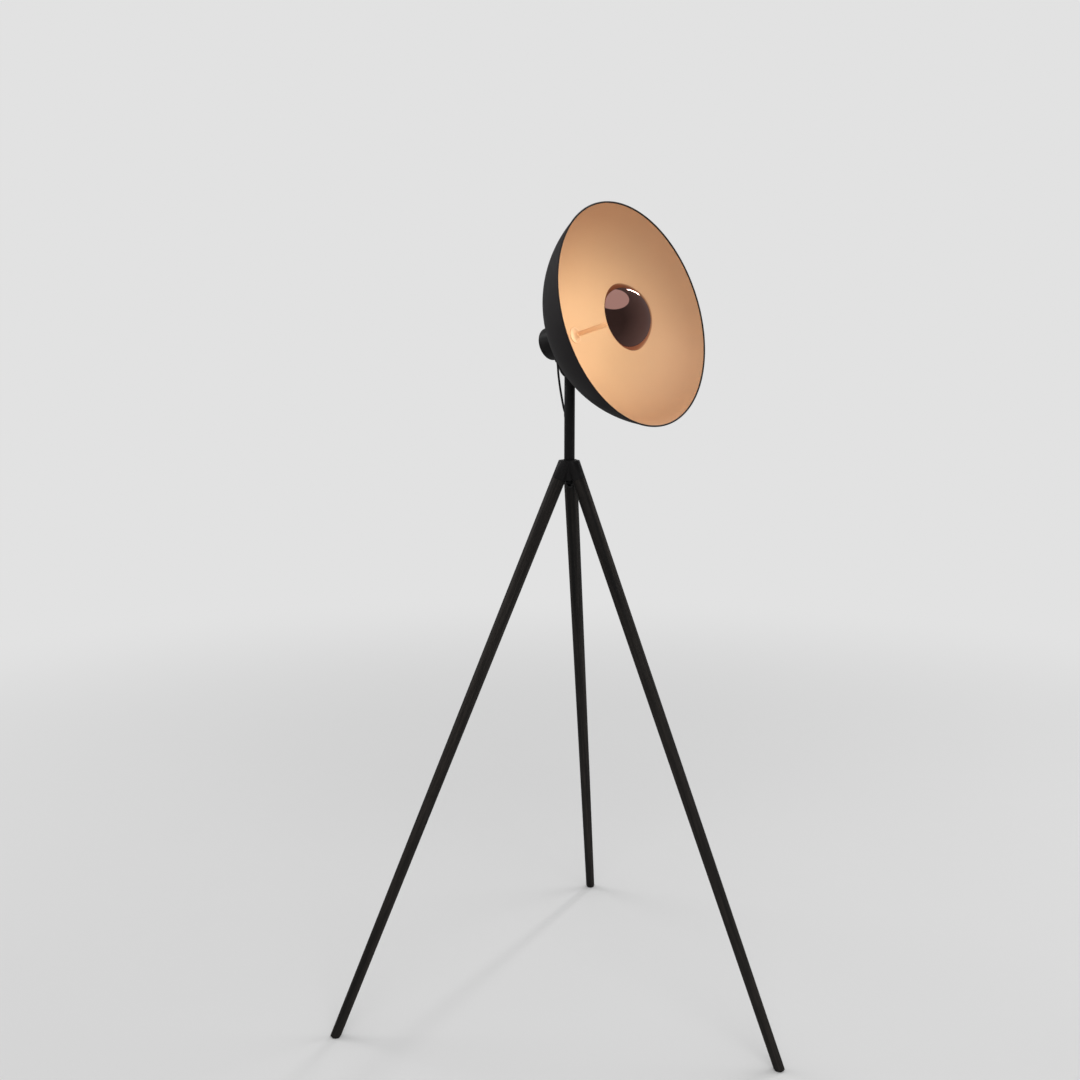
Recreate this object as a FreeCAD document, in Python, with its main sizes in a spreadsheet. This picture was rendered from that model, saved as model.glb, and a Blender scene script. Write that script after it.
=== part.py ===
import FreeCAD, Part
import math
import os
import Sketcher
from FreeCAD import Placement, Rotation, Vector

# A floor lamp: a black wooden tripod, a short steel pole and a large dish reflector that tilts
# and swivels. Z is up, the floor is at zero, the pole stands on the Z axis and the dish faces -Y.

# Driving sizes, in millimetres and degrees
SIZES = {
    # tripod
    "hub_rise": 40.3,
    "hub_core_diameter": 34.0,
    "hub_core_height": 42.0,
    "hub_web": 4.0,
    "leg_splay_angle": 23.7,
    "leg_turn_angle": 3.3,
    "leg_joint_height": 1147.7,
    "leg_joint_clearance": 2.62,
    "leg_top_diameter": 29.0,
    "leg_foot_diameter": 21.0,
    "socket_chamfer": 0.8,
    "stud_diameter": 8.0,
    "stud_in_hub": 14.0,
    "stud_in_leg": 36.0,
    "pad_diameter": 18.0,
    "pad_thickness": 4.0,
    "pad_chamfer": 1.0,
    # pole and its swivel
    "pole_diameter": 22.0,
    "pole_wall": 1.5,
    "pole_length": 189.4,
    "bush_wall": 1.45,
    "thrust_thickness": 1.5,
    "spigot_flange": 2.0,
    "spigot_length": 18.0,
    "nipple_diameter": 10.0,
    "nipple_wall": 1.8,
    "nipple_tail": 4.9,
    "swivel_washer_diameter": 18.0,
    "swivel_washer_thickness": 2.0,
    "swivel_nut_flats": 17.0,
    "swivel_nut_height": 6.0,
    "outlet_lip": 1.0,
    "outlet_flange": 2.0,
    "outlet_length": 10.0,
    "outlet_wall": 0.55,
    "entry_drop": 60.0,
    "entry_lean_angle": 31.8,
    "grommet_wall": 1.05,
    "grommet_lip": 1.3,
    "grommet_proud": 1.2,
    "grommet_inside": 1.0,
    "grommet_gap": 0.85,
    # tilt hinge
    "pivot_rise": 42.0,
    "fork_slot": 8.0,
    "fork_slot_clearance": 1.5,
    "fork_flat_depth": 3.0,
    "fork_flat_drop": 13.0,
    "fork_spigot": 20.0,
    "bolt_diameter": 6.0,
    "bolt_head_diameter": 10.0,
    "bolt_head_height": 5.0,
    "bolt_key_flats": 5.0,
    "bolt_key_depth": 3.0,
    "bolt_tail": 1.0,
    "hinge_nut_flats": 10.0,
    "hinge_nut_height": 5.0,
    "hinge_washer_diameter": 20.0,
    "hinge_washer_thickness": 1.0,
    # bracket between the hinge and the housing
    "dish_elevation_angle": 16.1,
    "pivot_gap": 19.2,
    "pivot_setback": 27.8,
    "plate_reach": 8.8,
    "saddle_thickness": 3.5,
    "saddle_end": 1.0,
    "saddle_half_angle": 32.0,
    "screw_angle": 21.0,
    "screw_margin": 9.4,
    "screw_diameter": 4.0,
    "screw_head_diameter": 7.0,
    "screw_head_height": 2.2,
    "screw_head_sink": 0.9,
    "screw_inside": 2.5,
    # back housing
    "housing_diameter": 68.0,
    "housing_wall": 2.5,
    "housing_lip_gap": 0.3,
    "housing_front_wall": 3.0,
    "housing_relief": 0.3,
    "housing_seat_margin": 1.0,
    "housing_back": 65.0,
    "cap_thickness": 5.5,
    "cap_round": 3.5,
    "cap_spigot": 6.0,
    "cap_spigot_wall": 2.8,
    "cap_notch": 10.0,
    "cap_screw_diameter": 3.0,
    "cap_screw_length": 3.6,
    "cap_screw_angle": 60.0,
    "driver_clearance": 2.7,
    "driver_depth": 30.0,
    "driver_height": 24.0,
    "terminal_width": 24.0,
    "terminal_depth": 12.0,
    "terminal_height": 13.0,
    "terminal_pitch": 7.0,
    "terminal_well_diameter": 3.4,
    "terminal_well_depth": 6.0,
    "terminal_entry_diameter": 2.8,
    "terminal_entry_depth": 5.0,
    "terminal_entry_rise": 4.0,
    "gland_rise": 6.0,
    "gland_wall": 0.75,
    "gland_rim": 1.3,
    "gland_collar": 2.0,
    "gland_nose": 6.0,
    "gland_tip_wall": 1.1,
    "gland_inside": 4.0,
    # dish
    "dish_rim": 225.0,
    "dish_depth": 160.4178,
    "dish_wall": 1.5,
    "dish_seat_margin": 1.5,
    "bead_radius": 1.7,
    # stem and light
    "stem_diameter": 10.0,
    "stem_wall": 1.5,
    "stem_back": 14.0,
    "stem_in_boss": 12.0,
    "flange_neck": 1.45,
    "flange_edge": 2.0,
    "flange_height": 12.0,
    "stem_washer_diameter": 18.0,
    "stem_washer_thickness": 1.5,
    "stem_nut_flats": 17.0,
    "stem_nut_height": 6.0,
    "bowl_rim": 68.2,
    "bowl_depth": 42.0,
    "bowl_inset": 21.0,
    "bowl_wall": 1.5,
    "bowl_lip": 6.0,
    "bowl_lip_thickness": 1.2,
    "boss_wall": 1.95,
    "boss_length": 20.0,
    "diffuser_thickness": 2.5,
    "diffuser_gap": 0.3,
    "carrier_rise": 4.8,
    "carrier_clearance": 3.2,
    "carrier_thickness": 3.0,
    "carrier_hub_diameter": 18.0,
    "carrier_nut_flats": 14.0,
    "carrier_nut_height": 4.4,
    "board_inner_diameter": 28.0,
    "board_margin": 6.0,
    "board_thickness": 1.6,
    # head cable
    "cable_diameter": 4.5,
    "cable_gap": 0.15,
    # fits
    "running_gap": 0.05,
    "seat_gap": 0.1,
    "overrun": 40.0,
}

# The head cable's centre line from the gland to the pole, as distance behind the pole's axis and
# height above the tilt pivot, chosen by hand: it leaves the gland, hangs close behind the pole and
# slips into it.
CABLE_ROUTE = [
    (35.1, 8.9),
    (32.0, -1.7),
    (31.2, -18.5),
    (25.8, -50.0),
    (18.8, -79.5),
    (13.8, -97.5),
    (7.9, -107.0),
]
ARC_SHARE = 0.45

doc = FreeCAD.newDocument("floor_lamp")
sheet = doc.addObject("Spreadsheet::Sheet", "sizes")
for row, (alias, number) in enumerate(SIZES.items(), start=1):
    sheet.set(f"A{row}", alias)
    sheet.set(f"B{row}", str(number))
    sheet.setAlias(f"B{row}", alias)
doc.recompute()


class Size:
    """A size that carries its value and, in the sheet's words, the formula that gives it."""

    def __init__(self, value, formula):
        self.value = float(value)
        self.formula = formula

    def __add__(self, other):
        return Size(self.value + other.value, f"({self.formula} + {other.formula})")

    def __sub__(self, other):
        return Size(self.value - other.value, f"({self.formula} - {other.formula})")

    def __mul__(self, other):
        other = factor(other)
        return Size(self.value * other.value, f"({self.formula} * {other.formula})")

    def __truediv__(self, other):
        other = factor(other)
        return Size(self.value / other.value, f"({self.formula} / {other.formula})")

    def __neg__(self):
        return self * -1


def factor(other):
    return other if isinstance(other, Size) else Size(other, repr(other))


def root(size):
    return Size(math.sqrt(size.value), f"sqrt({size.formula})")


def sine(angle):
    return Size(math.sin(math.radians(angle.value)), f"sin({angle.formula})")


def cosine(angle):
    return Size(math.cos(math.radians(angle.value)), f"cos({angle.formula})")


class Sizes:
    """The sheet's sizes by name."""

    def __getattr__(self, alias):
        return Size(sheet.get(alias), f"sizes.{alias}")


s = Sizes()
NONE = Size(0, "0")


def at(x=NONE, y=NONE, z=NONE, axis=(0, 0, 1), turn=0):
    """A place from three sizes and a turn in degrees about an axis."""
    return Placement(Vector(x.value, y.value, z.value), Rotation(Vector(*axis), turn))


def bind(made, **sizes):
    """Tie properties of an object to formulas; a double underscore stands for a dot."""
    for name, size in sizes.items():
        made.setExpression(name.replace("__", "."), size.formula)
    return made


def stand(made, low, place):
    """Put a primitive on the Z axis at a height, or at that height along a place's own Z."""
    if place is None:
        return bind(made, Placement__Base__z=low)
    made.Placement = place * at(z=low)
    return made


def cylinder(name, radius, low, high, place=None):
    made = doc.addObject("Part::Cylinder", name)
    return stand(bind(made, Radius=radius, Height=high - low), low, place)


def cone(name, low_radius, high_radius, low, high, place=None):
    made = doc.addObject("Part::Cone", name)
    bind(made, Radius1=low_radius, Radius2=high_radius, Height=high - low)
    return stand(made, low, place)


def hexagon(name, flats, low, high, place=None):
    made = doc.addObject("Part::Prism", name)
    made.Polygon = 6
    bind(made, Circumradius=flats / root(Size(3, "3")), Height=high - low)
    return stand(made, low, place)


def box(name, widths, middle, place=None):
    """A box by its three widths and its middle."""
    made = doc.addObject("Part::Box", name)
    bind(made, Length=widths[0], Width=widths[1], Height=widths[2])
    x, y, z = [centre - width / 2 for centre, width in zip(middle, widths)]
    if place is None:
        return bind(made, Placement__Base__x=x, Placement__Base__y=y, Placement__Base__z=z)
    made.Placement = place * at(x, y, z)
    return made


def cut(name, base, *tools):
    """Cut tools from a base one after the other; the last result carries the name."""
    for index, tool in enumerate(tools, start=1):
        made = doc.addObject("Part::Cut", name if index == len(tools) else f"{name}_cut{index}")
        made.Base = base
        made.Tool = tool
        base = made
    return base


def join(name, *pieces):
    made = doc.addObject("Part::MultiFuse", name)
    made.Shapes = list(pieces)
    made.Refine = True
    return made


def shared(name, base, tool):
    made = doc.addObject("Part::Common", name)
    made.Base = base
    made.Tool = tool
    return made


def group(name, pieces):
    """Like fasteners as one group of separate solids."""
    made = doc.addObject("Part::Compound", name)
    made.Links = list(pieces)
    return made


def origin_plane(body, role):
    return next(feature for feature in body.Origin.OriginFeatures if feature.Role == role)


def new_sketch(body, name, role):
    made = body.newObject("Sketcher::SketchObject", name)
    made.AttachmentSupport = [(origin_plane(body, role), "")]
    made.MapMode = "FlatFace"
    return made


def hold_point(sketch, edge, end, corner, name):
    """Hold one end of an edge at its corner's distances from the sketch's axes."""
    for kind, axis, size in (("DistanceX", -2, corner[0]), ("DistanceY", -1, corner[1])):
        if size is NONE:
            sketch.addConstraint(Sketcher.Constraint("PointOnObject", edge, end, axis))
            continue
        held = sketch.addConstraint(Sketcher.Constraint(kind, -1, 1, edge, end, size.value))
        sketch.renameConstraint(held, f"{name}_{kind}")
        sketch.setExpression(f"Constraints.{name}_{kind}", size.formula)


def draw_outline(sketch, corners, arcs):
    """Draw a closed outline through corners. For an edge that is an arc, arcs gives, by the number
    of the corner that it leaves, its radius and its centre."""
    points = [Vector(x.value, y.value, 0) for x, y in corners]
    edges = []
    for index, start in enumerate(points):
        finish = points[(index + 1) % len(points)]
        if index not in arcs:
            edges.append((sketch.addGeometry(Part.LineSegment(start, finish)), 1, 2))
            continue
        radius, (x, y) = arcs[index]
        centre = Vector(x.value, y.value, 0)
        halfway = centre + ((start + finish) / 2 - centre).normalize() * radius.value
        if (start - centre).cross(finish - centre).z > 0:
            edges.append((sketch.addGeometry(Part.Arc(start, halfway, finish)), 1, 2))
        else:
            edges.append((sketch.addGeometry(Part.Arc(finish, halfway, start)), 2, 1))
    for index, (edge, start, finish) in enumerate(edges):
        after, after_start, _ = edges[(index + 1) % len(edges)]
        joint = Sketcher.Constraint("Coincident", edge, finish, after, after_start)
        sketch.addConstraint(joint)
    for index, (edge, start, finish) in enumerate(edges):
        hold_point(sketch, edge, start, corners[index], f"corner{index}")
    for index, (radius, centre) in arcs.items():
        held = sketch.addConstraint(Sketcher.Constraint("Radius", edges[index][0], radius.value))
        sketch.renameConstraint(held, f"radius{index}")
        sketch.setExpression(f"Constraints.radius{index}", radius.formula)


def turned(name, corners, arcs={}):
    """A body turned about its own Z axis from a profile of radius and height."""
    body = doc.addObject("PartDesign::Body", name)
    profile = new_sketch(body, f"{name}_profile", "XZ_Plane")
    draw_outline(profile, corners, arcs)
    made = body.newObject("PartDesign::Revolution", f"{name}_turned")
    made.Profile = profile
    made.ReferenceAxis = (profile, ["V_Axis"])
    made.Angle = 360
    body.Tip = made
    return body


def ring(name, inner, outer, low, high):
    return turned(name, [(inner, low), (outer, low), (outer, high), (inner, high)])


nodes = {}


def keep(node, made, place=None):
    """Name an object as a piece of the lamp, and put it in its place."""
    made.Label = node
    if place is not None:
        made.Placement = place
    nodes[node] = made


# Hub: three leg sockets as wide as the legs, run into one core and cut flat on top. Each socket
# ends square to its leg.
SIDES = ("front", "right", "left")
leg_radius = s.leg_top_diameter / 2
stud_radius = s.stud_diameter / 2
stud_hole_radius = stud_radius + s.seat_gap
pole_radius = s.pole_diameter / 2
bush_bore = pole_radius + s.running_gap
bush_radius = bush_bore + s.bush_wall
hub_top = s.leg_joint_height + s.hub_rise
hub_foot = hub_top - s.hub_core_height
web_top = hub_foot + s.hub_web
nipple_radius = s.nipple_diameter / 2
washer_radius = s.swivel_washer_diameter / 2
joint_reach = washer_radius + s.leg_joint_clearance + leg_radius * cosine(s.leg_splay_angle)
socket_length = s.hub_rise / cosine(s.leg_splay_angle) + leg_radius


def leg_heading(index):
    """The direction of a leg, as a turn of the X axis about the pole."""
    return at(turn=-90 + s.leg_turn_angle.value + 120 * index)


def leg_place(index):
    """The joint of a leg and its socket, with the leg's axis as Z, pointing up the leg."""
    lean = -s.leg_splay_angle.value
    joint = at(x=joint_reach, z=s.leg_joint_height, axis=(0, 1, 0), turn=lean)
    return leg_heading(index) * joint


sockets = []
stud_holes = []
for index, side in enumerate(SIDES):
    place = leg_place(index)
    edge_radius = leg_radius - s.socket_chamfer
    sockets.append(cylinder(f"socket_{side}", leg_radius, s.socket_chamfer, socket_length, place))
    sockets.append(cone(f"edge_{side}", edge_radius, leg_radius, NONE, s.socket_chamfer, place))
    floor = s.stud_in_hub + s.seat_gap
    stud_holes.append(cylinder(f"stud_hole_{side}", stud_hole_radius, -s.overrun, floor, place))
core = cylinder("core", s.hub_core_diameter / 2, hub_foot, hub_top)
block = join("hub_block", core, *sockets)
above_reach = (joint_reach + s.leg_top_diameter) * 2
above = box("above_hub", (above_reach, above_reach, s.overrun), (NONE, NONE, hub_top + s.overrun / 2))
pole_bore = cylinder("pole_bore", bush_radius, web_top, hub_top + s.overrun)
nipple_hole = cylinder("nipple_hole", nipple_radius + s.running_gap, hub_foot - s.overrun, hub_top)
keep("hub", cut("hub", block, above, pole_bore, nipple_hole, *stud_holes))

# Plain bearing of the pole: a sleeve in the hub's bore and a washer under the pole's foot.
thrust_top = web_top + s.thrust_thickness
nipple_clear = nipple_radius + s.seat_gap
keep("pole_bush", ring("pole_bush", bush_bore, bush_radius, thrust_top, hub_top))
keep("thrust_washer", ring("thrust_washer", nipple_clear, bush_radius, web_top, thrust_top))

# Legs: turned wood that tapers to the foot and is cut level above a flat glide. A stud joins the
# top of each leg to its socket.
leg_length = (s.leg_joint_height - s.pad_thickness) / cosine(s.leg_splay_angle)
taper = (s.leg_top_diameter - s.leg_foot_diameter) / 2 / leg_length
wood_end = -leg_length - s.overrun
wood_end_radius = leg_radius + taper * wood_end
stud_floor = -s.stud_in_leg - s.seat_gap
foot_reach = joint_reach + leg_length * sine(s.leg_splay_angle)
pad_radius = s.pad_diameter / 2
for index, side in enumerate(SIDES):
    wood = turned(
        f"leg_wood_{side}",
        [
            (NONE, wood_end),
            (wood_end_radius, wood_end),
            (leg_radius, NONE),
            (stud_hole_radius, NONE),
            (stud_hole_radius, stud_floor),
            (NONE, stud_floor),
        ],
    )
    wood.Placement = leg_place(index)
    below_widths = (foot_reach * 4, foot_reach * 4, s.overrun * 4)
    below_middle = (NONE, NONE, s.pad_thickness - s.overrun * 2)
    below = box(f"below_{side}", below_widths, below_middle)
    keep(f"leg_{side}", cut(f"leg_{side}", wood, below))
    stud = doc.addObject("Part::Cylinder", f"leg_stud_{side}")
    bind(stud, Radius=stud_radius, Height=s.stud_in_hub + s.stud_in_leg)
    keep(f"leg_stud_{side}", stud, leg_place(index) * at(z=-s.stud_in_leg))
    pad = turned(
        f"foot_pad_{side}",
        [
            (NONE, NONE),
            (pad_radius - s.pad_chamfer, NONE),
            (pad_radius, s.pad_chamfer),
            (pad_radius, s.pad_thickness),
            (NONE, s.pad_thickness),
        ],
    )
    keep(f"foot_pad_{side}", pad, leg_heading(index) * at(x=foot_reach))

# Pole: a steel tube. The turned plug in its foot has a hollow threaded end that passes through
# the hub, where a washer and a nut set how stiffly the pole swivels.
tube_bore = pole_radius - s.pole_wall
plug_radius = tube_bore - s.running_gap
spigot_foot = thrust_top + s.seat_gap
tube_foot = spigot_foot + s.spigot_flange
tube_top = tube_foot + s.pole_length
spigot_top = tube_foot + s.spigot_length
way_radius = nipple_radius - s.nipple_wall
washer_top = hub_foot - s.seat_gap
nut_top = washer_top - s.swivel_washer_thickness
nut_foot = nut_top - s.swivel_nut_height
nipple_end = nut_foot - s.nipple_tail
keep(
    "pole_spigot",
    turned(
        "pole_spigot",
        [
            (way_radius, nipple_end),
            (nipple_radius, nipple_end),
            (nipple_radius, spigot_foot),
            (pole_radius, spigot_foot),
            (pole_radius, tube_foot),
            (plug_radius, tube_foot),
            (plug_radius, spigot_top),
            (way_radius, spigot_top),
        ],
    ),
)
thread_bore = nipple_radius + s.running_gap
keep("swivel_washer", ring("swivel_washer", thread_bore, washer_radius, nut_top, washer_top))
nut_block = hexagon("swivel_nut_block", s.swivel_nut_flats, nut_foot, nut_top)
nut_hole = cylinder("swivel_nut_hole", thread_bore, nut_foot - s.overrun, nut_top + s.overrun)
keep("swivel_nut", cut("swivel_nut", nut_block, nut_hole))

# Cable outlet: a flanged bush in the hollow end, where the mains lead comes out under the hub.
outlet_foot = nipple_end - s.outlet_flange
outlet_neck = way_radius - s.running_gap
outlet_bore_radius = outlet_neck - s.outlet_wall
outlet_radius = nipple_radius + s.outlet_lip
keep(
    "cable_outlet",
    turned(
        "cable_outlet",
        [
            (outlet_bore_radius, outlet_foot),
            (outlet_radius, outlet_foot),
            (outlet_radius, nipple_end),
            (outlet_neck, nipple_end),
            (outlet_neck, outlet_foot + s.outlet_length),
            (outlet_bore_radius, outlet_foot + s.outlet_length),
        ],
    ),
)

# Pole grommet: an oval lip that hugs the back of the tube, on the slant of the cable's last run.
# The cable runs loose in it, because it feeds through as the head tilts.
entry_height = tube_top - s.entry_drop
entry = at(y=pole_radius, z=entry_height, axis=(1, 0, 0), turn=-s.entry_lean_angle.value)
loose_radius = s.cable_diameter / 2 + s.grommet_gap
neck_radius = loose_radius + s.grommet_wall
entry_radius = neck_radius + s.running_gap
tube = ring("pole_shell", tube_bore, pole_radius, tube_foot, tube_top)
entry_hole = cylinder("entry_hole", entry_radius, -s.pole_diameter, s.overrun, entry)
front_half_widths = (s.pole_diameter * 2, s.pole_diameter, s.pole_diameter * 8)
front_half_middle = (NONE, -pole_radius, entry_height)
front_half = box("front_half", front_half_widths, front_half_middle)
keep("pole_tube", cut("pole_tube", tube, cut("back_hole", entry_hole, front_half)))
lip_radius = pole_radius + s.grommet_proud
lip_low = entry_height - s.pole_diameter * 2
lip_high = entry_height + s.pole_diameter * 2
lip_slant = cylinder("lip_slant", entry_radius + s.grommet_lip, -s.overrun, s.overrun, entry)
lip_zone = cut(
    "lip_zone",
    cylinder("lip_zone_outside", lip_radius, lip_low, lip_high),
    cylinder("lip_zone_inside", pole_radius, lip_low, lip_high),
    box("lip_zone_front", front_half_widths, front_half_middle),
)
neck_slant = cylinder("neck_slant", neck_radius, -s.overrun, s.overrun, entry)
neck_zone = cut(
    "neck_zone",
    cylinder("neck_zone_outside", lip_radius, lip_low, lip_high),
    cylinder("neck_zone_inside", tube_bore - s.grommet_inside, lip_low, lip_high),
    box("neck_zone_front", front_half_widths, front_half_middle),
)
grommet_block = join(
    "grommet_block", shared("lip", lip_zone, lip_slant), shared("neck", neck_zone, neck_slant)
)
grommet_bore = cylinder("grommet_bore", loose_radius, -s.overrun, s.overrun, entry)
keep("pole_grommet", cut("pole_grommet", grommet_block, grommet_bore))

# Hinge fork: a plug in the tube's top with two cheeks, rounded about the pivot and milled flat
# where the bolt's head and nut sit.
pivot_height = tube_top + s.pivot_rise
plate_radius = s.pivot_gap + s.plate_reach
across = at(z=pivot_height, axis=(0, 1, 0), turn=90)
half_slot = s.fork_slot / 2
half_flats = pole_radius - s.fork_flat_depth
fork_top = pivot_height + pole_radius
slot_floor = pivot_height - plate_radius - s.fork_slot_clearance
bolt_hole = s.bolt_diameter / 2 + s.running_gap
shoulder_widths = (s.pole_diameter, s.pole_diameter, s.pivot_rise)
shoulder_middle = (NONE, NONE, tube_top + s.pivot_rise / 2)
rounding = join(
    "fork_rounding",
    box("fork_shoulder", shoulder_widths, shoulder_middle),
    cylinder("fork_nose", pole_radius, -pole_radius, pole_radius, across),
)
fork_stock = cylinder("fork_stock", pole_radius, tube_top, fork_top)
fork_block = join(
    "fork_block",
    shared("fork_body", fork_stock, rounding),
    cylinder("fork_plug", plug_radius, tube_top - s.fork_spigot, tube_top),
)
slot_widths = (s.fork_slot, s.pole_diameter * 2, s.overrun * 2)
slot = box("fork_gap", slot_widths, (NONE, NONE, slot_floor + s.overrun))
flat_middle = pivot_height - s.fork_flat_drop + s.overrun
flat_widths = (s.overrun, s.pole_diameter * 2, s.overrun * 2)
flats = [
    box(f"fork_flat_{name}", flat_widths, (offset, NONE, flat_middle))
    for name, offset in (
        ("right", half_flats + s.overrun / 2),
        ("left", -half_flats - s.overrun / 2),
    )
]
fork_hole = cylinder("fork_hole", bolt_hole, -s.overrun, s.overrun, across)
keep("hinge_fork", cut("hinge_fork", fork_block, slot, *flats, fork_hole))

# Hinge bolt with its nut, and the two washers that the plate is held between.
tail = -half_flats - s.hinge_nut_height - s.bolt_tail
head_face = half_flats + s.bolt_head_height
bolt_block = join(
    "bolt_block",
    cylinder("bolt_shank", s.bolt_diameter / 2, tail, half_flats, across),
    cylinder("bolt_head", s.bolt_head_diameter / 2, half_flats, head_face, across),
)
key_floor = head_face - s.bolt_key_depth
bolt_key = hexagon("bolt_key", s.bolt_key_flats, key_floor, head_face + s.overrun, across)
keep("hinge_bolt", cut("hinge_bolt", bolt_block, bolt_key))
hinge_nut_block = hexagon(
    "hinge_nut_block", s.hinge_nut_flats, -half_flats - s.hinge_nut_height, -half_flats, across
)
hinge_nut_hole = cylinder("hinge_nut_hole", bolt_hole, -s.overrun, s.overrun, across)
keep("hinge_nut", cut("hinge_nut", hinge_nut_block, hinge_nut_hole))
washer_inner = half_slot - s.hinge_washer_thickness
washers = []
for name, low, high in (
    ("right", washer_inner, half_slot),
    ("left", -half_slot, -washer_inner),
):
    disc = cylinder(f"washer_disc_{name}", s.hinge_washer_diameter / 2, low, high, across)
    hole = cylinder(f"washer_hole_{name}", bolt_hole, -s.overrun, s.overrun, across)
    washers.append(cut(f"washer_{name}", disc, hole))
keep("hinge_washers", group("hinge_washers", washers))

# Everything from here to the stem lies on the dish's own axis: Z points out of the dish, and zero
# is the lowest point of the dish's ball.
housing_radius = s.housing_diameter / 2
pivot_drop = housing_radius + s.pivot_gap
pivot = at(z=pivot_height, axis=(1, 0, 0), turn=90 - s.dish_elevation_angle.value)
head = pivot * at(y=pivot_drop, z=s.pivot_setback)

# Hinge bracket: a round plate on the pivot with a saddle that wraps the underside of the housing.
plate_thickness = s.fork_slot - s.hinge_washer_thickness * 2 - s.seat_gap * 2
plate_chord = root(plate_radius * plate_radius - s.pivot_gap * s.pivot_gap)
saddle_half = plate_chord + s.saddle_end
saddle_radius = housing_radius + s.saddle_thickness
plate_axis = at(y=-pivot_drop, z=-s.pivot_setback, axis=(0, 1, 0), turn=90)
plate = cut(
    "bracket_plate",
    cylinder("plate_disc", plate_radius, -plate_thickness / 2, plate_thickness / 2, plate_axis),
    cylinder("housing_room", housing_radius + s.saddle_thickness / 2, -s.overrun * 2, s.overrun),
)
saddle = doc.addObject("PartDesign::Body", "bracket_saddle")
saddle_profile = new_sketch(saddle, "saddle_profile", "XY_Plane")
out_x, out_y = sine(s.saddle_half_angle), -cosine(s.saddle_half_angle)
draw_outline(
    saddle_profile,
    [
        (-out_x * housing_radius, out_y * housing_radius),
        (-out_x * saddle_radius, out_y * saddle_radius),
        (out_x * saddle_radius, out_y * saddle_radius),
        (out_x * housing_radius, out_y * housing_radius),
    ],
    {1: (saddle_radius, (NONE, NONE)), 3: (housing_radius, (NONE, NONE))},
)
saddle_pad = saddle.newObject("PartDesign::Pad", "saddle_pad")
saddle_pad.Profile = saddle_profile
bind(saddle_pad, Length=saddle_half * 2)
saddle.Tip = saddle_pad
saddle.Placement = at(z=-s.pivot_setback - saddle_half)
bracket_block = join("bracket_block", plate, saddle)
screw_radius = s.screw_diameter / 2
screw_seat = saddle_radius - s.screw_head_sink
screw_face = screw_seat + s.screw_head_height
screw_end = housing_radius - s.housing_wall - s.screw_inside
head_radius = s.screw_head_diameter / 2
screw_reach = saddle_half - s.screw_margin
screw_places = [
    at(z=level - s.pivot_setback, turn=side * s.screw_angle.value) * at(axis=(1, 0, 0), turn=90)
    for side in (-1, 1)
    for level in (-screw_reach, screw_reach)
]
bracket_holes = []
for index, place in enumerate(screw_places):
    hole_radius = screw_radius + s.running_gap
    sink_radius = head_radius + s.seat_gap
    bracket_holes.append(cylinder(f"bracket_hole{index}", hole_radius, NONE, screw_face, place))
    high = screw_face + s.overrun
    bracket_holes.append(cylinder(f"bracket_sink{index}", sink_radius, screw_seat, high, place))
plate_hole = cylinder("plate_hole", bolt_hole, -s.overrun, s.overrun, plate_axis)
keep("hinge_bracket", cut("hinge_bracket", bracket_block, plate_hole, *bracket_holes), head)
screws = [
    join(
        f"bracket_screw{index}",
        cylinder(f"bracket_shank{index}", screw_radius, screw_end, screw_seat, place),
        cylinder(f"bracket_head{index}", head_radius, screw_seat, screw_face, place),
    )
    for index, place in enumerate(screw_places)
]
keep("bracket_screws", group("bracket_screws", screws), head)

# Back housing: a round cup behind the dish. Its front wall carries a seat that the dish is
# clamped against, and its lip follows the dish's curve.
dish_ball = (s.dish_rim * s.dish_rim + s.dish_depth * s.dish_depth) / s.dish_depth / 2
ball_squared = dish_ball * dish_ball
stem_radius = s.stem_diameter / 2
stem_grip = stem_radius + s.running_gap
stem_hole = stem_radius + s.seat_gap
flare = s.flange_height - s.flange_edge
flange_radius = stem_grip + s.flange_neck + flare
dish_seat = flange_radius + s.dish_seat_margin
seat_height = dish_ball - root(ball_squared - dish_seat * dish_seat)
seat_radius = dish_seat - s.housing_seat_margin
housing_bore = housing_radius - s.housing_wall
housing_lip = dish_ball - root(ball_squared - housing_bore * housing_bore) - s.housing_lip_gap
housing_cup = turned(
    "housing_cup",
    [
        (stem_hole, -s.housing_front_wall),
        (housing_bore, -s.housing_front_wall),
        (housing_bore, -s.housing_back),
        (housing_radius, -s.housing_back),
        (housing_radius, housing_lip),
        (housing_bore, housing_lip),
        (housing_bore, -s.housing_relief),
        (seat_radius, -s.housing_relief),
        (seat_radius, seat_height),
        (stem_hole, seat_height),
    ],
)
housing_holes = [
    cylinder(f"housing_hole{index}", screw_radius + s.running_gap, NONE, saddle_radius, place)
    for index, place in enumerate(screw_places)
]
gland_axis = at(z=s.gland_rise - s.housing_back, axis=(1, 0, 0), turn=90)
cable_bore = s.cable_diameter / 2 + s.cable_gap
gland_neck_radius = cable_bore + s.gland_wall
gland_hole_radius = gland_neck_radius + s.running_gap
housing_holes.append(
    cylinder("gland_hole", gland_hole_radius, NONE, housing_radius + s.overrun, gland_axis)
)
cap_screw_radius = s.cap_screw_diameter / 2
cap_screw_face = housing_radius - s.seat_gap * 2
cap_screw_end = cap_screw_face - s.cap_screw_length
cap_screw_level = s.cap_spigot / 2 - s.housing_back
cap_screw_places = [
    at(z=cap_screw_level, turn=s.cap_screw_angle.value + 120 * index) * at(axis=(1, 0, 0), turn=90)
    for index in range(3)
]
cap_hole_radius = cap_screw_radius + s.running_gap
cap_hole_floor = cap_screw_end - s.seat_gap
for index, place in enumerate(cap_screw_places):
    high = housing_radius + s.overrun
    hole = cylinder(f"cap_screw_way{index}", cap_hole_radius, cap_hole_floor, high, place)
    housing_holes.append(hole)
keep("back_housing", cut("back_housing", housing_cup, *housing_holes), head)

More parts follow.
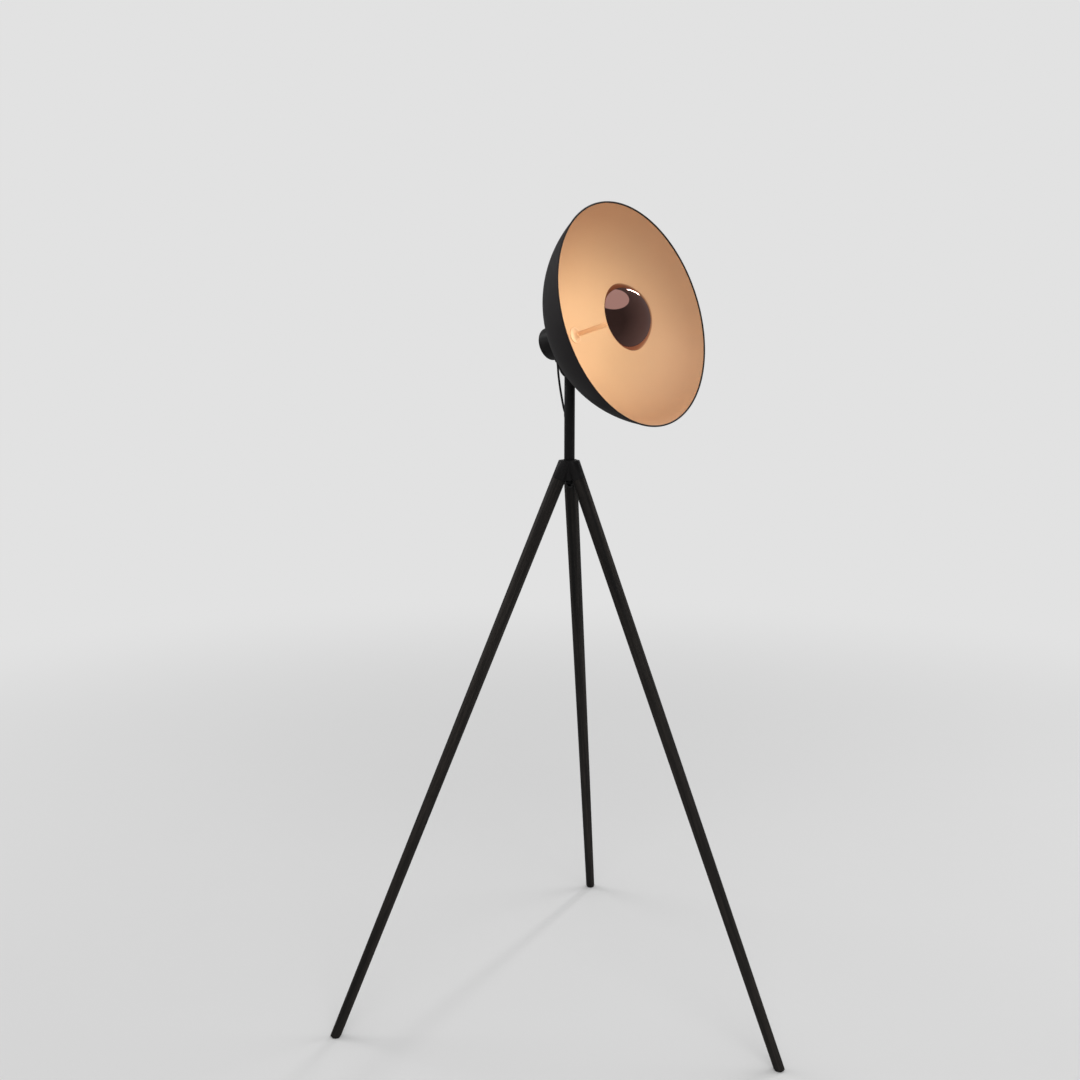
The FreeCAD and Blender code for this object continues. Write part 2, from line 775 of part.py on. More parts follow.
# Housing cap: a rounded cover whose spigot sits in the housing, held by three set screws.
spigot_radius = housing_bore - s.seat_gap * 2
spigot_inner = spigot_radius - s.cap_spigot_wall
spigot_end = s.cap_spigot - s.housing_back
cap_face = -s.housing_back - s.cap_thickness
round_top = cap_face + s.cap_round
flat_radius = housing_radius - s.cap_round
cap_turned = turned(
    "cap_turned",
    [
        (NONE, cap_face),
        (flat_radius, cap_face),
        (housing_radius, round_top),
        (housing_radius, -s.housing_back),
        (spigot_radius, -s.housing_back),
        (spigot_radius, spigot_end),
        (spigot_inner, spigot_end),
        (spigot_inner, -s.housing_back),
        (NONE, -s.housing_back),
    ],
    {1: (s.cap_round, (flat_radius, round_top))},
)
notch_height = s.cap_spigot * 2
notch_widths = (s.cap_notch, housing_radius, notch_height)
notch_middle = (NONE, -housing_radius, notch_height / 2 - s.housing_back)
cap_cuts = [box("cap_notch", notch_widths, notch_middle)]
for index, place in enumerate(cap_screw_places):
    high = housing_radius + s.overrun
    cap_cuts.append(
        cylinder(f"cap_dimple{index}", cap_hole_radius, cap_hole_floor, high, place)
    )
keep("housing_cap", cut("housing_cap", cap_turned, *cap_cuts), head)
cap_screws = [
    cylinder(f"cap_screw{index}", cap_screw_radius, cap_screw_end, cap_screw_face, place)
    for index, place in enumerate(cap_screw_places)
]
keep("cap_screws", group("cap_screws", cap_screws), head)

# Driver of the light on the cap's inner face, and the terminal block on the driver.
driver_foot = -s.housing_back
driver_top = driver_foot + s.driver_height
driver_reach = spigot_inner - s.driver_clearance
half_depth = s.driver_depth / 2
driver_width = root(driver_reach * driver_reach - half_depth * half_depth) * 2
driver_widths = (driver_width, s.driver_depth, s.driver_height)
driver_middle = (NONE, NONE, driver_foot + s.driver_height / 2)
keep("led_driver", box("driver_case", driver_widths, driver_middle, head))
terminal_widths = (s.terminal_width, s.terminal_depth, s.terminal_height)
terminal_middle = (NONE, NONE, driver_top + s.terminal_height / 2)
terminal_top = driver_top + s.terminal_height
terminal_face = s.terminal_depth / 2
well_floor = terminal_top - s.terminal_well_depth
entry_floor = terminal_face - s.terminal_entry_depth
terminal_cuts = []
for index in (-1, 0, 1):
    beside = at(x=s.terminal_pitch * index)
    into = beside * at(z=driver_top + s.terminal_entry_rise) * at(axis=(1, 0, 0), turn=90)
    well_radius = s.terminal_well_diameter / 2
    mouth_radius = s.terminal_entry_diameter / 2
    high = terminal_top + s.overrun
    terminal_cuts.append(cylinder(f"terminal_well{index + 1}", well_radius, well_floor, high, beside))
    high = terminal_face + s.overrun
    terminal_cuts.append(cylinder(f"terminal_entry{index + 1}", mouth_radius, entry_floor, high, into))
terminal_case = box("terminal_case", terminal_widths, terminal_middle)
keep("terminal_block", cut("terminal_block", terminal_case, *terminal_cuts), head)

# Cable gland: a collar that hugs the housing, a neck through its wall and a tapered nose.
collar_foot = housing_radius - s.gland_collar
collar_top = housing_radius + s.gland_collar
gland_tip = housing_radius + s.gland_nose
gland_radius = gland_hole_radius + s.gland_rim
gland_collar = turned(
    "gland_collar",
    [
        (cable_bore, collar_foot),
        (gland_radius, collar_foot),
        (gland_radius, collar_top),
        (cable_bore + s.gland_tip_wall, gland_tip),
        (cable_bore, gland_tip),
    ],
)
gland_collar.Placement = gland_axis
gland_room = cylinder("gland_room", housing_radius, -s.overrun * 2, s.overrun)
gland_neck = ring(
    "gland_neck",
    cable_bore,
    gland_neck_radius,
    housing_bore - s.gland_inside,
    collar_top,
)
gland_neck.Placement = gland_axis
gland_block = join("cable_gland", cut("gland_outside", gland_collar, gland_room), gland_neck)
keep("cable_gland", gland_block, head)

# Dish: a spun cap of a ball with a flat seat in its middle and a rolled wire edge.
inner_ball = dish_ball - s.dish_wall
inner_squared = inner_ball * inner_ball
wall_share = inner_ball / dish_ball
rim_fall = dish_ball - s.dish_depth
floor_height = seat_height + s.dish_wall
floor_fall = dish_ball - floor_height
floor_radius = root(inner_squared - floor_fall * floor_fall)
dish_centre = (NONE, dish_ball)
shell = turned(
    "dish_shell",
    [
        (stem_hole, seat_height),
        (dish_seat, seat_height),
        (s.dish_rim, s.dish_depth),
        (s.dish_rim * wall_share, dish_ball - rim_fall * wall_share),
        (floor_radius, floor_height),
        (stem_hole, floor_height),
    ],
    {1: (dish_ball, dish_centre), 3: (inner_ball, dish_centre)},
)
middle_share = (wall_share + Size(1, "1")) / 2
bead = doc.addObject("Part::Torus", "rim_bead")
bind(bead, Radius1=s.dish_rim * middle_share, Radius2=s.bead_radius)
bind(bead, Placement__Base__z=dish_ball - rim_fall * middle_share)
keep("dish_shade", join("dish_shade", shell, bead), head)

# Stem: a tube from the housing to the small bowl, with a flared foot on the dish's floor and a
# washer and nut behind the housing's front wall.
stem_bore_radius = stem_radius - s.stem_wall
bowl_rim_height = s.dish_depth - s.bowl_inset
bowl_top = bowl_rim_height + s.bowl_depth
boss_foot = bowl_top - s.bowl_wall - s.boss_length
stem_top = boss_foot + s.stem_in_boss
keep("stem_tube", ring("stem_tube", stem_bore_radius, stem_radius, -s.stem_back, stem_top), head)
flange_top = floor_height + s.flange_height
keep(
    "stem_flange",
    turned(
        "stem_flange",
        [
            (stem_grip, floor_height),
            (flange_radius, floor_height),
            (flange_radius, floor_height + s.flange_edge),
            (flange_radius - flare, flange_top),
            (stem_grip, flange_top),
        ],
        {2: (flare, (flange_radius, flange_top))},
    ),
    head,
)
wall_back = -s.housing_front_wall
stem_nut_top = wall_back - s.stem_washer_thickness
stem_nut_foot = stem_nut_top - s.stem_nut_height
stem_washer_radius = s.stem_washer_diameter / 2
keep("stem_washer", ring("stem_washer", stem_grip, stem_washer_radius, stem_nut_top, wall_back), head)
stem_nut_block = hexagon("stem_nut_block", s.stem_nut_flats, stem_nut_foot, stem_nut_top)
stem_nut_hole = cylinder("stem_nut_hole", stem_grip, -s.overrun, s.overrun)
keep("stem_nut", cut("stem_nut", stem_nut_block, stem_nut_hole), head)

# Small bowl: a polished cap of a ball that hides the light, with an inward lip that holds the
# diffuser and a boss inside that screws on to the stem.
bowl_ball = (s.bowl_rim * s.bowl_rim + s.bowl_depth * s.bowl_depth) / s.bowl_depth / 2
bowl_middle = bowl_top - bowl_ball
bowl_inner = bowl_ball - s.bowl_wall
bowl_inner_squared = bowl_inner * bowl_inner
bowl_centre = (NONE, bowl_middle)
boss_radius = stem_grip + s.boss_wall
lip_top = bowl_rim_height + s.bowl_lip_thickness
lip_rise = lip_top - bowl_middle
boss_floor = stem_top + s.seat_gap
keep(
    "reflector_bowl",
    turned(
        "reflector_bowl",
        [
            (NONE, bowl_top),
            (s.bowl_rim, bowl_rim_height),
            (s.bowl_rim - s.bowl_lip, bowl_rim_height),
            (s.bowl_rim - s.bowl_lip, lip_top),
            (root(bowl_inner_squared - lip_rise * lip_rise), lip_top),
            (boss_radius, bowl_middle + root(bowl_inner_squared - boss_radius * boss_radius)),
            (boss_radius, boss_foot),
            (stem_grip, boss_foot),
            (stem_grip, boss_floor),
            (NONE, boss_floor),
        ],
        {0: (bowl_ball, bowl_centre), 4: (bowl_inner, bowl_centre)},
    ),
    head,
)

# Diffuser: an opal disc on the bowl's lip. Light leaves it backwards, into the dish.
diffuser_top = lip_top + s.diffuser_thickness
diffuser_rise = diffuser_top - bowl_middle
diffuser_radius = root(bowl_inner_squared - diffuser_rise * diffuser_rise) - s.diffuser_gap
diffuser_hole = stem_radius + s.diffuser_gap
keep("diffuser", ring("diffuser", diffuser_hole, diffuser_radius, lip_top, diffuser_top), head)

# Lamp carrier: a plate that takes the heat of the board on its back, clamped on the stem between
# the bowl's boss and a nut.
carrier_foot = diffuser_top + s.carrier_rise
carrier_top = carrier_foot + s.carrier_thickness
carrier_level = carrier_top - bowl_middle
bowl_room = root(bowl_inner_squared - carrier_level * carrier_level)
carrier_radius = bowl_room - s.carrier_clearance
carrier_hub = s.carrier_hub_diameter / 2
keep(
    "lamp_carrier",
    turned(
        "lamp_carrier",
        [
            (stem_grip, carrier_foot),
            (carrier_radius, carrier_foot),
            (carrier_radius, carrier_top),
            (carrier_hub, carrier_top),
            (carrier_hub, boss_foot),
            (stem_grip, boss_foot),
        ],
    ),
    head,
)
carrier_nut_foot = carrier_foot - s.carrier_nut_height
carrier_nut_block = hexagon("carrier_nut_block", s.carrier_nut_flats, carrier_nut_foot, carrier_foot)
carrier_nut_hole = cylinder("carrier_nut_hole", stem_grip, NONE, carrier_foot + s.overrun)
keep("carrier_nut", cut("carrier_nut", carrier_nut_block, carrier_nut_hole), head)
board_foot = carrier_foot - s.board_thickness
board_inner = s.board_inner_diameter / 2
board_outer = carrier_radius - s.board_margin
keep("led_board", ring("led_board", board_inner, board_outer, board_foot, carrier_foot), head)


def tube_path(points):
    """Straight runs joined by tangent arcs, each as large as its two runs allow."""
    edges = []
    radii = []
    start = points[0]
    for before, corner, after in zip(points, points[1:], points[2:]):
        into = (corner - before).normalize()
        out = (after - corner).normalize()
        half_turn = into.getAngle(out) / 2
        trim = ARC_SHARE * min((corner - before).Length, (after - corner).Length)
        radius = trim / math.tan(half_turn)
        inward = (out - into).normalize()
        arc_start = corner - into * trim
        arc_end = corner + out * trim
        middle = corner + inward * (radius / math.cos(half_turn) - radius)
        edges.append(Part.LineSegment(start, arc_start).toShape())
        edges.append(Part.Arc(arc_start, middle, arc_end).toShape())
        radii.append(round(radius, 1))
        start = arc_end
    edges.append(Part.LineSegment(start, points[-1]).toShape())
    return Part.Wire(edges), radii


# Head cable: a short loop of round cable from the housing's gland into the pole.
route = [Vector(0, back, pivot_height.value + height) for back, height in CABLE_ROUTE]
path, radii = tube_path(route)
cable_radius = s.cable_diameter.value / 2
section = Part.Wire(Part.makeCircle(cable_radius, route[0], route[1] - route[0]))
cable = doc.addObject("Part::Feature", "head_cable")
cable.Shape = path.makePipeShell([section], True, True)
keep("head_cable", cable, Placement())
print("cable length", round(path.Length, 1), "arc radii", radii)
print("cable volume share", round(cable.Shape.Volume / (math.pi * cable_radius**2 * path.Length), 4))

doc.recompute()
tip = head * gland_axis * Vector(0, 0, gland_tip.value)
print("gland tip", [round(number, 2) for number in tip])

for made in doc.Objects:
    if "Invalid" in made.State or "Error" in made.State:
        raise RuntimeError(f"{made.Name} failed: {made.State}")
os.makedirs("parts", exist_ok=True)
for node, made in nodes.items():
    if made.Shape.isNull() or not made.Shape.isValid() or not made.Shape.Solids:
        raise RuntimeError(f"{node} has no sound shape")
    made.Shape.exportStep(f"parts/{node}.step")
print(len(nodes), "pieces written")
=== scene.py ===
import math

import bmesh
import bpy
import numpy as np
from mathutils import Matrix, Vector


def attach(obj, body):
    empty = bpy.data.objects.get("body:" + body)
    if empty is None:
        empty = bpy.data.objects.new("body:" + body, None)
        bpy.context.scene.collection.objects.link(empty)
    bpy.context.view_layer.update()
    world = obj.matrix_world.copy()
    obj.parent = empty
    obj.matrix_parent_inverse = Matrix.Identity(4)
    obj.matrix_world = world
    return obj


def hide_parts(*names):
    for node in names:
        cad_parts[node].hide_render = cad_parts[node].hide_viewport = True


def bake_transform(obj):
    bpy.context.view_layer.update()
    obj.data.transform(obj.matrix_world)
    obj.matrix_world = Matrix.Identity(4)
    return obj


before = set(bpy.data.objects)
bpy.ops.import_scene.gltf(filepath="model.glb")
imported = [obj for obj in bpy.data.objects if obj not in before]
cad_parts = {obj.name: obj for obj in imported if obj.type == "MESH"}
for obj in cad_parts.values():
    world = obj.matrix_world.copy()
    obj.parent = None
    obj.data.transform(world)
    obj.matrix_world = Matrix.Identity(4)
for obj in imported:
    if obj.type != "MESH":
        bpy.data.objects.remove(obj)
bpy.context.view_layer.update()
scene = bpy.context.scene

# Camera: it stands to the left front of the lamp, level with the dish, and looks a little down
# with a normal lens, as in the photograph.
CAMERA_PLACE = (-2.1118, -1.7567, 1.5179)
CAMERA_TILT = math.radians(79.7)
CAMERA_HEADING = math.radians(-48.97)
camera_data = bpy.data.cameras.new("camera")
camera_data.lens = 44.27
camera_data.sensor_width = 36
camera = bpy.data.objects.new("camera", camera_data)
camera.location = CAMERA_PLACE
camera.rotation_euler = (CAMERA_TILT, 0, CAMERA_HEADING)
scene.collection.objects.link(camera)
scene.camera = camera

# Head cable: a short round cable in a soft black jacket. It leaves the gland under the housing,
# hangs close behind the pole and slips through a grommet into the pole. The route's points are
# distances behind the pole's axis and heights above the tilt pivot.
PIVOT_HEIGHT = 1.385
CABLE_DIAMETER = 0.0045
CABLE_ROUTE = [
    (0.0351, 0.0089),
    (0.0320, -0.0017),
    (0.0312, -0.0185),
    (0.0258, -0.0500),
    (0.0188, -0.0795),
    (0.0138, -0.0975),
    (0.0079, -0.1070),
]
CABLE_SIDES = 24
WELD_GAP = 1e-7
SHARP_ANGLE = math.radians(32)


def route_line(points):
    """The smooth line of a cord: a quadratic spline that has the route's points as its control
    points and starts and ends on the first and the last of them."""
    curve = bpy.data.curves.new("route", "CURVE")
    curve.dimensions = "3D"
    spline = curve.splines.new("NURBS")
    spline.points.add(len(points) - 1)
    for knot, place in zip(spline.points, points):
        knot.co = (*place, 1)
    spline.order_u = 3
    spline.use_endpoint_u = True
    carrier = bpy.data.objects.new("route", curve)
    line = bpy.data.meshes.new_from_object(carrier)
    places = np.zeros(len(line.vertices) * 3)
    line.vertices.foreach_get("co", places)
    bpy.data.objects.remove(carrier)
    return places.reshape(-1, 3)


def full_turn(sides):
    """The angles of points that stand evenly round a circle, from zero."""
    return np.linspace(0, 2 * np.pi, sides, endpoint=False)


def tube_along(path, radius, sides):
    """Rows of a round tube in the plane of the pole and the dish's axis: each point of the path
    carries a circle square to the path, and both ends are closed."""
    tangent = np.gradient(path, axis=0)
    tangent /= np.linalg.norm(tangent, axis=1, keepdims=True)
    across = np.array([1.0, 0, 0])
    other = np.cross(tangent, across)[:, None]
    turn = full_turn(sides)[:, None]
    walls = path[:, None] + radius * (np.cos(turn) * across + np.sin(turn) * other)
    ends = np.repeat(path[[0, -1], None], sides, axis=1)
    return np.concatenate([ends[:1], walls, ends[1:]])


def skin(name, grid, finishes, rows=None, wrap_rows=False, attributes=None):
    """A piece from a grid of points that closes on itself across its columns. Neighbouring points
    make four-sided faces; a row that has shrunk to one point is welded into a pole. Grids of like
    parts can be stacked into one piece. rows says which finish each row of faces takes, and
    wrap_rows joins the last row to the first."""
    grid = grid if grid.ndim == 4 else grid[None]
    copies, count, sides, _ = grid.shape
    ring = np.arange(sides)
    ahead = np.roll(ring, -1)
    first = np.arange(count if wrap_rows else count - 1)[:, None] * sides
    second = (first + sides) % (count * sides)
    corners = [first + ring, first + ahead, second + ahead, second + ring]
    start = np.arange(copies)[:, None, None] * count * sides
    faces = (start + np.stack(corners, axis=-1).reshape(-1, 4)).reshape(-1, 4)
    mesh = bpy.data.meshes.new(name)
    mesh.from_pydata(grid.reshape(-1, 3).tolist(), [], faces.tolist())
    for finish in finishes:
        mesh.materials.append(finish)
    if rows is not None:
        kinds = np.repeat(rows[: len(first)], sides).astype(np.int32)
        mesh.polygons.foreach_set("material_index", kinds)
    for label, values in (attributes or {}).items():
        kind, key = ("FLOAT_VECTOR", "vector") if values.ndim == 3 else ("FLOAT", "value")
        store = mesh.attributes.new(label, kind, "POINT")
        store.data.foreach_set(key, np.ascontiguousarray(values, np.float32).ravel())
    piece = bpy.data.objects.new(name, mesh)
    scene.collection.objects.link(piece)
    weld_and_smooth(mesh)
    return piece


def weld_and_smooth(mesh):
    """Weld points that coincide, and shade smooth except across sharp edges."""
    work = bmesh.new()
    work.from_mesh(mesh)
    bmesh.ops.remove_doubles(work, verts=work.verts, dist=WELD_GAP)
    bmesh.ops.dissolve_degenerate(work, edges=work.edges, dist=WELD_GAP)
    work.to_mesh(mesh)
    work.free()
    mesh.polygons.foreach_set("use_smooth", [True] * len(mesh.polygons))
    mesh.set_sharp_from_angle(angle=SHARP_ANGLE)


def effect(name, takes, gives):
    """An empty shader group with named inputs and outputs, each with its kind."""
    group = bpy.data.node_groups.new(name, "ShaderNodeTree")
    for way, sockets in (("INPUT", takes), ("OUTPUT", gives)):
        for label, kind in sockets.items():
            group.interface.new_socket(label, in_out=way, socket_type=f"NodeSocket{kind}")
    return group, group.nodes.new("NodeGroupInput").outputs, group.nodes.new("NodeGroupOutput")


def fill(tree, node, **inputs):
    """Fill a node's inputs, by name with underscores for blanks, or by number after an underscore:
    an output socket is linked, any other value is set."""
    for label, value in inputs.items():
        socket = node.inputs[int(label[1:]) if label[0] == "_" else label.replace("_", " ")]
        if isinstance(value, bpy.types.NodeSocket):
            tree.links.new(value, socket)
        else:
            socket.default_value = value


def add_node(tree, kind, settings=None, **inputs):
    """A shader node with its settings and its inputs."""
    node = tree.nodes.new(f"ShaderNode{kind}")
    for label, value in (settings or {}).items():
        setattr(node, label, value)
    fill(tree, node, **inputs)
    return node


def reckon(tree, first, second, operation="ADD"):
    """The sum of two values, or what another operation makes of them."""
    return add_node(tree, "Math", {"operation": operation}, _0=first, _1=second).outputs[0]


def blend_colours(tree, share, first, second):
    """The colour that lies between two colours by a share."""
    return add_node(tree, "Mix", {"data_type": "RGBA"}, Factor=share, _6=first, _7=second).outputs[2]


def coating(name, colour, roughness, **constant):
    """A material whose shader has a plain colour, a roughness and other constant values."""
    material = bpy.data.materials.new(name)
    material.use_nodes = True
    shader = material.node_tree.nodes["Principled BSDF"]
    fill(material.node_tree, shader, Base_Color=(*colour, 1), Roughness=roughness, **constant)
    material.diffuse_color = (*colour, 1)
    return material, material.node_tree, shader


def lay_on(tree, shader, look, strength, depth):
    """Lead an effect's colour, roughness and relief to a shader."""
    relief = add_node(tree, "Bump", Height=look["Height"], Strength=strength, Distance=depth)
    normal = relief.outputs["Normal"]
    fill(tree, shader, Base_Color=look["Colour"], Roughness=look["Roughness"], Normal=normal)


# The fine skin that every moulded, coated or machined surface has: a grain that the light
# catches, and broad soft patches where the surface is a little duller or has been handled.
SURFACE = {"Colour": "Color", "Roughness": "Float", "Height": "Float"}
SPECKLE = 0.04
SHADES = {"Dark": "Color", "Light": "Color"}
NUMBERS = dict.fromkeys(("Grain", "Patches", "Roughness", "Spread"), "Float")
fine_skin, take, give = effect("fine_skin", {"Place": "Vector", **NUMBERS, **SHADES}, SURFACE)
spot = take["Place"]
fine = add_node(fine_skin, "TexNoise", Vector=spot, Scale=take["Grain"], Detail=2.0, Roughness=0.5)
soft = add_node(fine_skin, "TexNoise", Vector=spot, Scale=take["Patches"], Detail=4.0, Roughness=0.55)
fine, soft = fine.outputs["Fac"], soft.outputs["Fac"]
swing = reckon(fine_skin, reckon(fine_skin, soft, 0.5, "SUBTRACT"), take["Spread"], "MULTIPLY")
speckle = reckon(fine_skin, fine, SPECKLE, "MULTIPLY")
rough_skin = reckon(fine_skin, reckon(fine_skin, take["Roughness"], swing), speckle)
tone = blend_colours(fine_skin, soft, take["Dark"], take["Light"])
fill(fine_skin, give, Colour=tone, Roughness=rough_skin, Height=fine)


def finished(name, colour, roughness, spread, grain, patches, depth, sway, **constant):
    """A material with the fine skin: its roughness sways by a spread and its colour by a share.
    grain and patches are counts per metre, depth is the grain's height in metres. Other constant
    values of the shader come by name."""
    material, tree, shader = coating(name, colour, roughness, **constant)
    look = add_node(
        tree,
        "Group",
        {"node_tree": fine_skin},
        Place=add_node(tree, "TexCoord").outputs["Object"],
        Grain=grain,
        Patches=patches,
        Roughness=roughness,
        Spread=spread,
        Dark=(*[part * (1 - sway) for part in colour], 1),
        Light=(*[part * (1 + sway) for part in colour], 1),
    )
    lay_on(tree, shader, look.outputs, 0.5, depth)
    return material, tree, shader


jacket, *_ = finished(
    "cable_jacket", (0.016, 0.016, 0.017), roughness=0.40, spread=0.12,
    grain=1500, patches=120, depth=0.00004, sway=0.25,
)
cable_points = [(0, back, PIVOT_HEIGHT + rise) for back, rise in CABLE_ROUTE]
cable_line = route_line(cable_points)
head_cable = skin("head_cord", tube_along(cable_line, CABLE_DIAMETER / 2, CABLE_SIDES), [jacket])
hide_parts("head_cable")
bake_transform(head_cable)

# Hub: a cast block with three leg sockets run into one core, faced flat on top and coated satin
# black. Its edges are broken by the tumbling and the coat.
EDGE_ANGLE = math.radians(35)


def dress(node, material, edge=0):
    """Give a piece of the frame its finish, and break its sharp edges by a small round."""
    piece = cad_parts[node]
    piece.data.materials.clear()
    piece.data.materials.append(material)
    if edge:
        weld = piece.modifiers.new("weld", "WELD")
        weld.merge_threshold = 1e-6
        ease = piece.modifiers.new("ease", "BEVEL")
        ease.width = edge
        ease.segments = 3
        ease.limit_method = "ANGLE"
        ease.angle_limit = EDGE_ANGLE
        ease.use_clamp_overlap = True
        ease.harden_normals = True


black_coat, *_ = finished(
    "black_coat", (0.0105, 0.0098, 0.0102), roughness=0.38, spread=0.10,
    grain=1100, patches=14, depth=0.00005, sway=0.19,
)
dress("hub", black_coat, edge=0.0005)

# Bearing: a sleeve and a washer of slippery plastic that the pole turns in and stands on. They
# are pressed into the hub's bore.
bearing_plastic, *_ = finished(
    "bearing_plastic", (0.03, 0.03, 0.03), roughness=0.52, spread=0.1,
    grain=1300, patches=60, depth=0.00003, sway=0.2,
)
for node in ("pole_bush", "thrust_washer"):
    dress(node, bearing_plastic)

# Legs: turned wood, stained black so that the grain still shows, with a thin satin lacquer. Each
# tapers to the foot, meets its socket with a broken edge and is cut level above its glide.
LEG_SPLAY = math.radians(23.7)
LEG_TURN = math.radians(3.3)
LEG_JOINT = (0.024897, 0, 1.1477)
LEG_TOP_RADIUS = 0.0145
LEG_FOOT_RADIUS = 0.0105
LEG_EDGE = 0.0007
PAD_THICKNESS = 0.004
LEG_SIDES = 72
LEG_ROWS = 60
TURNED_SIDES = 96
SIDES = ("front", "right", "left")
SOLE_RINGS = np.array([0.97, 0.6, 0.0])
LONGEST_EASE = 0.45
NEAR_POINT = 0.15
STAVE_STEP = np.array([0.031, 0.017, 0.9])
leg_length = (LEG_JOINT[2] - PAD_THICKNESS) / math.cos(LEG_SPLAY)
leg_slope = (LEG_TOP_RADIUS - LEG_FOOT_RADIUS) / leg_length


def leg_heading(index):
    """The turn about the pole that takes the X axis to a leg's side."""
    return Matrix.Rotation(-math.pi / 2 + LEG_TURN + index * 2 * math.pi / 3, 4, "Z")


def carried(points, place):
    """Points of a piece's own frame in the lamp's frame."""
    return points @ np.array(place.to_3x3()).T + np.array(place.translation)


def fit(name, grid, finishes, node, slot, body, place=Matrix(), **options):
    """A piece from a grid of points, carried to its place. It stands for a node of the frame and moves
    with a body. The slot argument, the name of that node's material slot, is not used."""
    piece = skin(name, carried(grid, place), finishes, **options)
    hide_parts(node)
    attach(piece, body)


def circle(turn):
    """Points of a circle of radius one: at angle a they are cos a and sin a."""
    return np.stack([np.cos(turn), np.sin(turn)], axis=-1)


def rounds(profile, sides=TURNED_SIDES):
    """Rows of points about the Z axis: at radius r, height h and angle a a point lies at r cos a,
    r sin a and h. A third number holds the row inside a hexagon: there r is at most that number
    over the cosine of the angle from the middle of the nearest flat."""
    profile = np.array([(*corner, 0)[:3] for corner in profile], float)
    turn = full_turn(sides)
    from_flat = turn % (np.pi / 3) - np.pi / 6
    hexagon = np.where(profile[:, 2:] > 0, profile[:, 2:], np.inf) / np.cos(from_flat)
    radius = np.minimum(profile[:, :1], hexagon)
    level = profile[:, 1:2] + 0 * turn
    return np.stack([radius * np.cos(turn), radius * np.sin(turn), level], axis=-1)


def round_off(corners):
    """A profile of radius and height through corners. A corner with a third number is rounded by
    a quadratic curve, which starts and ends that number over the tangent of half the corner's
    angle before and after it. A near point on each side keeps the flats flat."""
    corners = [np.array(corner, float) for corner in corners]
    line = []
    for index, corner in enumerate(corners):
        if len(corner) < 3:
            line.append(corner)
            continue
        middle = corner[:2]
        back, ahead = corners[index - 1][:2] - middle, corners[index + 1][:2] - middle
        back_length, ahead_length = np.linalg.norm(back), np.linalg.norm(ahead)
        back, ahead = back / back_length, ahead / ahead_length
        half = math.acos(np.clip(back @ ahead, -1, 1)) / 2
        longest = LONGEST_EASE * min(back_length, ahead_length)
        reach = min(corner[2] / math.tan(half), longest)
        share = np.linspace(0, 1, num=5)[:, None]
        start, end = middle + back * reach, middle + ahead * reach
        bow = (1 - share) ** 2 * start + 2 * share * (1 - share) * middle + share**2 * end
        line.extend([start + back * reach * NEAR_POINT, *bow, end + ahead * reach * NEAR_POINT])
    return np.array(line)


def leg_grid(place):
    """Points of a leg by turn and share of its length. A ring of the taper's radius slides down
    the leg; the last ring is carried on along the leg to the level of the glide's top, in a few
    passes, as the taper's radius changes on the way."""
    around = circle(full_turn(LEG_SIDES))
    top = round_off([(0, 0), (LEG_TOP_RADIUS, 0, LEG_EDGE), (LEG_TOP_RADIUS, -0.01)])[:-1]
    down = np.array(place.to_3x3())[2]
    foot = -leg_length
    for _ in range(4):
        flat = (LEG_TOP_RADIUS + leg_slope * foot) * (around @ down[:2])
        foot = (PAD_THICKNESS - LEG_JOINT[2] - flat) / down[2]
    start = top[-1, 1]
    depth = start + (foot - start) * np.linspace(0.002, 1, LEG_ROWS)[:, None]
    radius = (LEG_TOP_RADIUS + leg_slope * depth)[..., None]
    side_rows = np.concatenate([radius * around, depth[..., None]], axis=-1)
    middle = side_rows[-1].mean(axis=0)
    sole_rows = middle + (side_rows[-1] - middle) * SOLE_RINGS[:, None, None]
    return np.concatenate([rounds(top, LEG_SIDES), side_rows, sole_rows])


figure, take, give = effect("wood_figure", {"Place": "Vector", **SHADES}, SURFACE)


def drawn_out(kind, scale, output, low, high, **inputs):
    """A texture that is drawn out along the leg, and its share of the way from low to high."""
    place = add_node(figure, "Mapping", Vector=take["Place"], Scale=scale).outputs[0]
    value = add_node(figure, kind, Vector=place, Scale=1.0, **inputs).outputs[output]
    return value, add_node(figure, "MapRange", Value=value, From_Min=low, From_Max=high).outputs[0]


band_inputs = {"Detail": 5.0, "Roughness": 0.6, "Distortion": 0.6}
_, bands = drawn_out("TexNoise", (90, 90, 2.4), "Fac", 0.35, 0.68, **band_inputs)
fibre, fibres = drawn_out("TexNoise", (1500, 1500, 14), "Fac", 0.3, 0.75, Detail=3.0, Roughness=0.6)
_, pores = drawn_out("TexVoronoi", (900, 900, 40), "Distance", 0.05, 0.34)
opened = reckon(figure, reckon(figure, bands, fibres, "MULTIPLY"), pores, "MULTIPLY")
stain = blend_colours(figure, opened, take["Dark"], take["Light"])
dulled = add_node(figure, "MapRange", Value=opened, To_Min=0.56, To_Max=0.40).outputs[0]
raised = reckon(figure, reckon(figure, fibre, 0.35, "MULTIPLY"), pores)
fill(figure, give, Colour=stain, Roughness=dulled, Height=raised)

stained_wood, wood_tree, wood_shader = coating(
    "stained_wood", (0.026, 0.022, 0.020), 0.45, Coat_Weight=0.15, Coat_Roughness=0.3
)
wood_look = add_node(
    wood_tree,
    "Group",
    {"node_tree": figure},
    Place=add_node(wood_tree, "Attribute", {"attribute_name": "grain"}).outputs["Vector"],
    Dark=(0.008, 0.007, 0.0065, 1),
    Light=(0.060, 0.047, 0.038, 1),
)
lay_on(wood_tree, wood_shader, wood_look.outputs, 0.35, 0.00012)

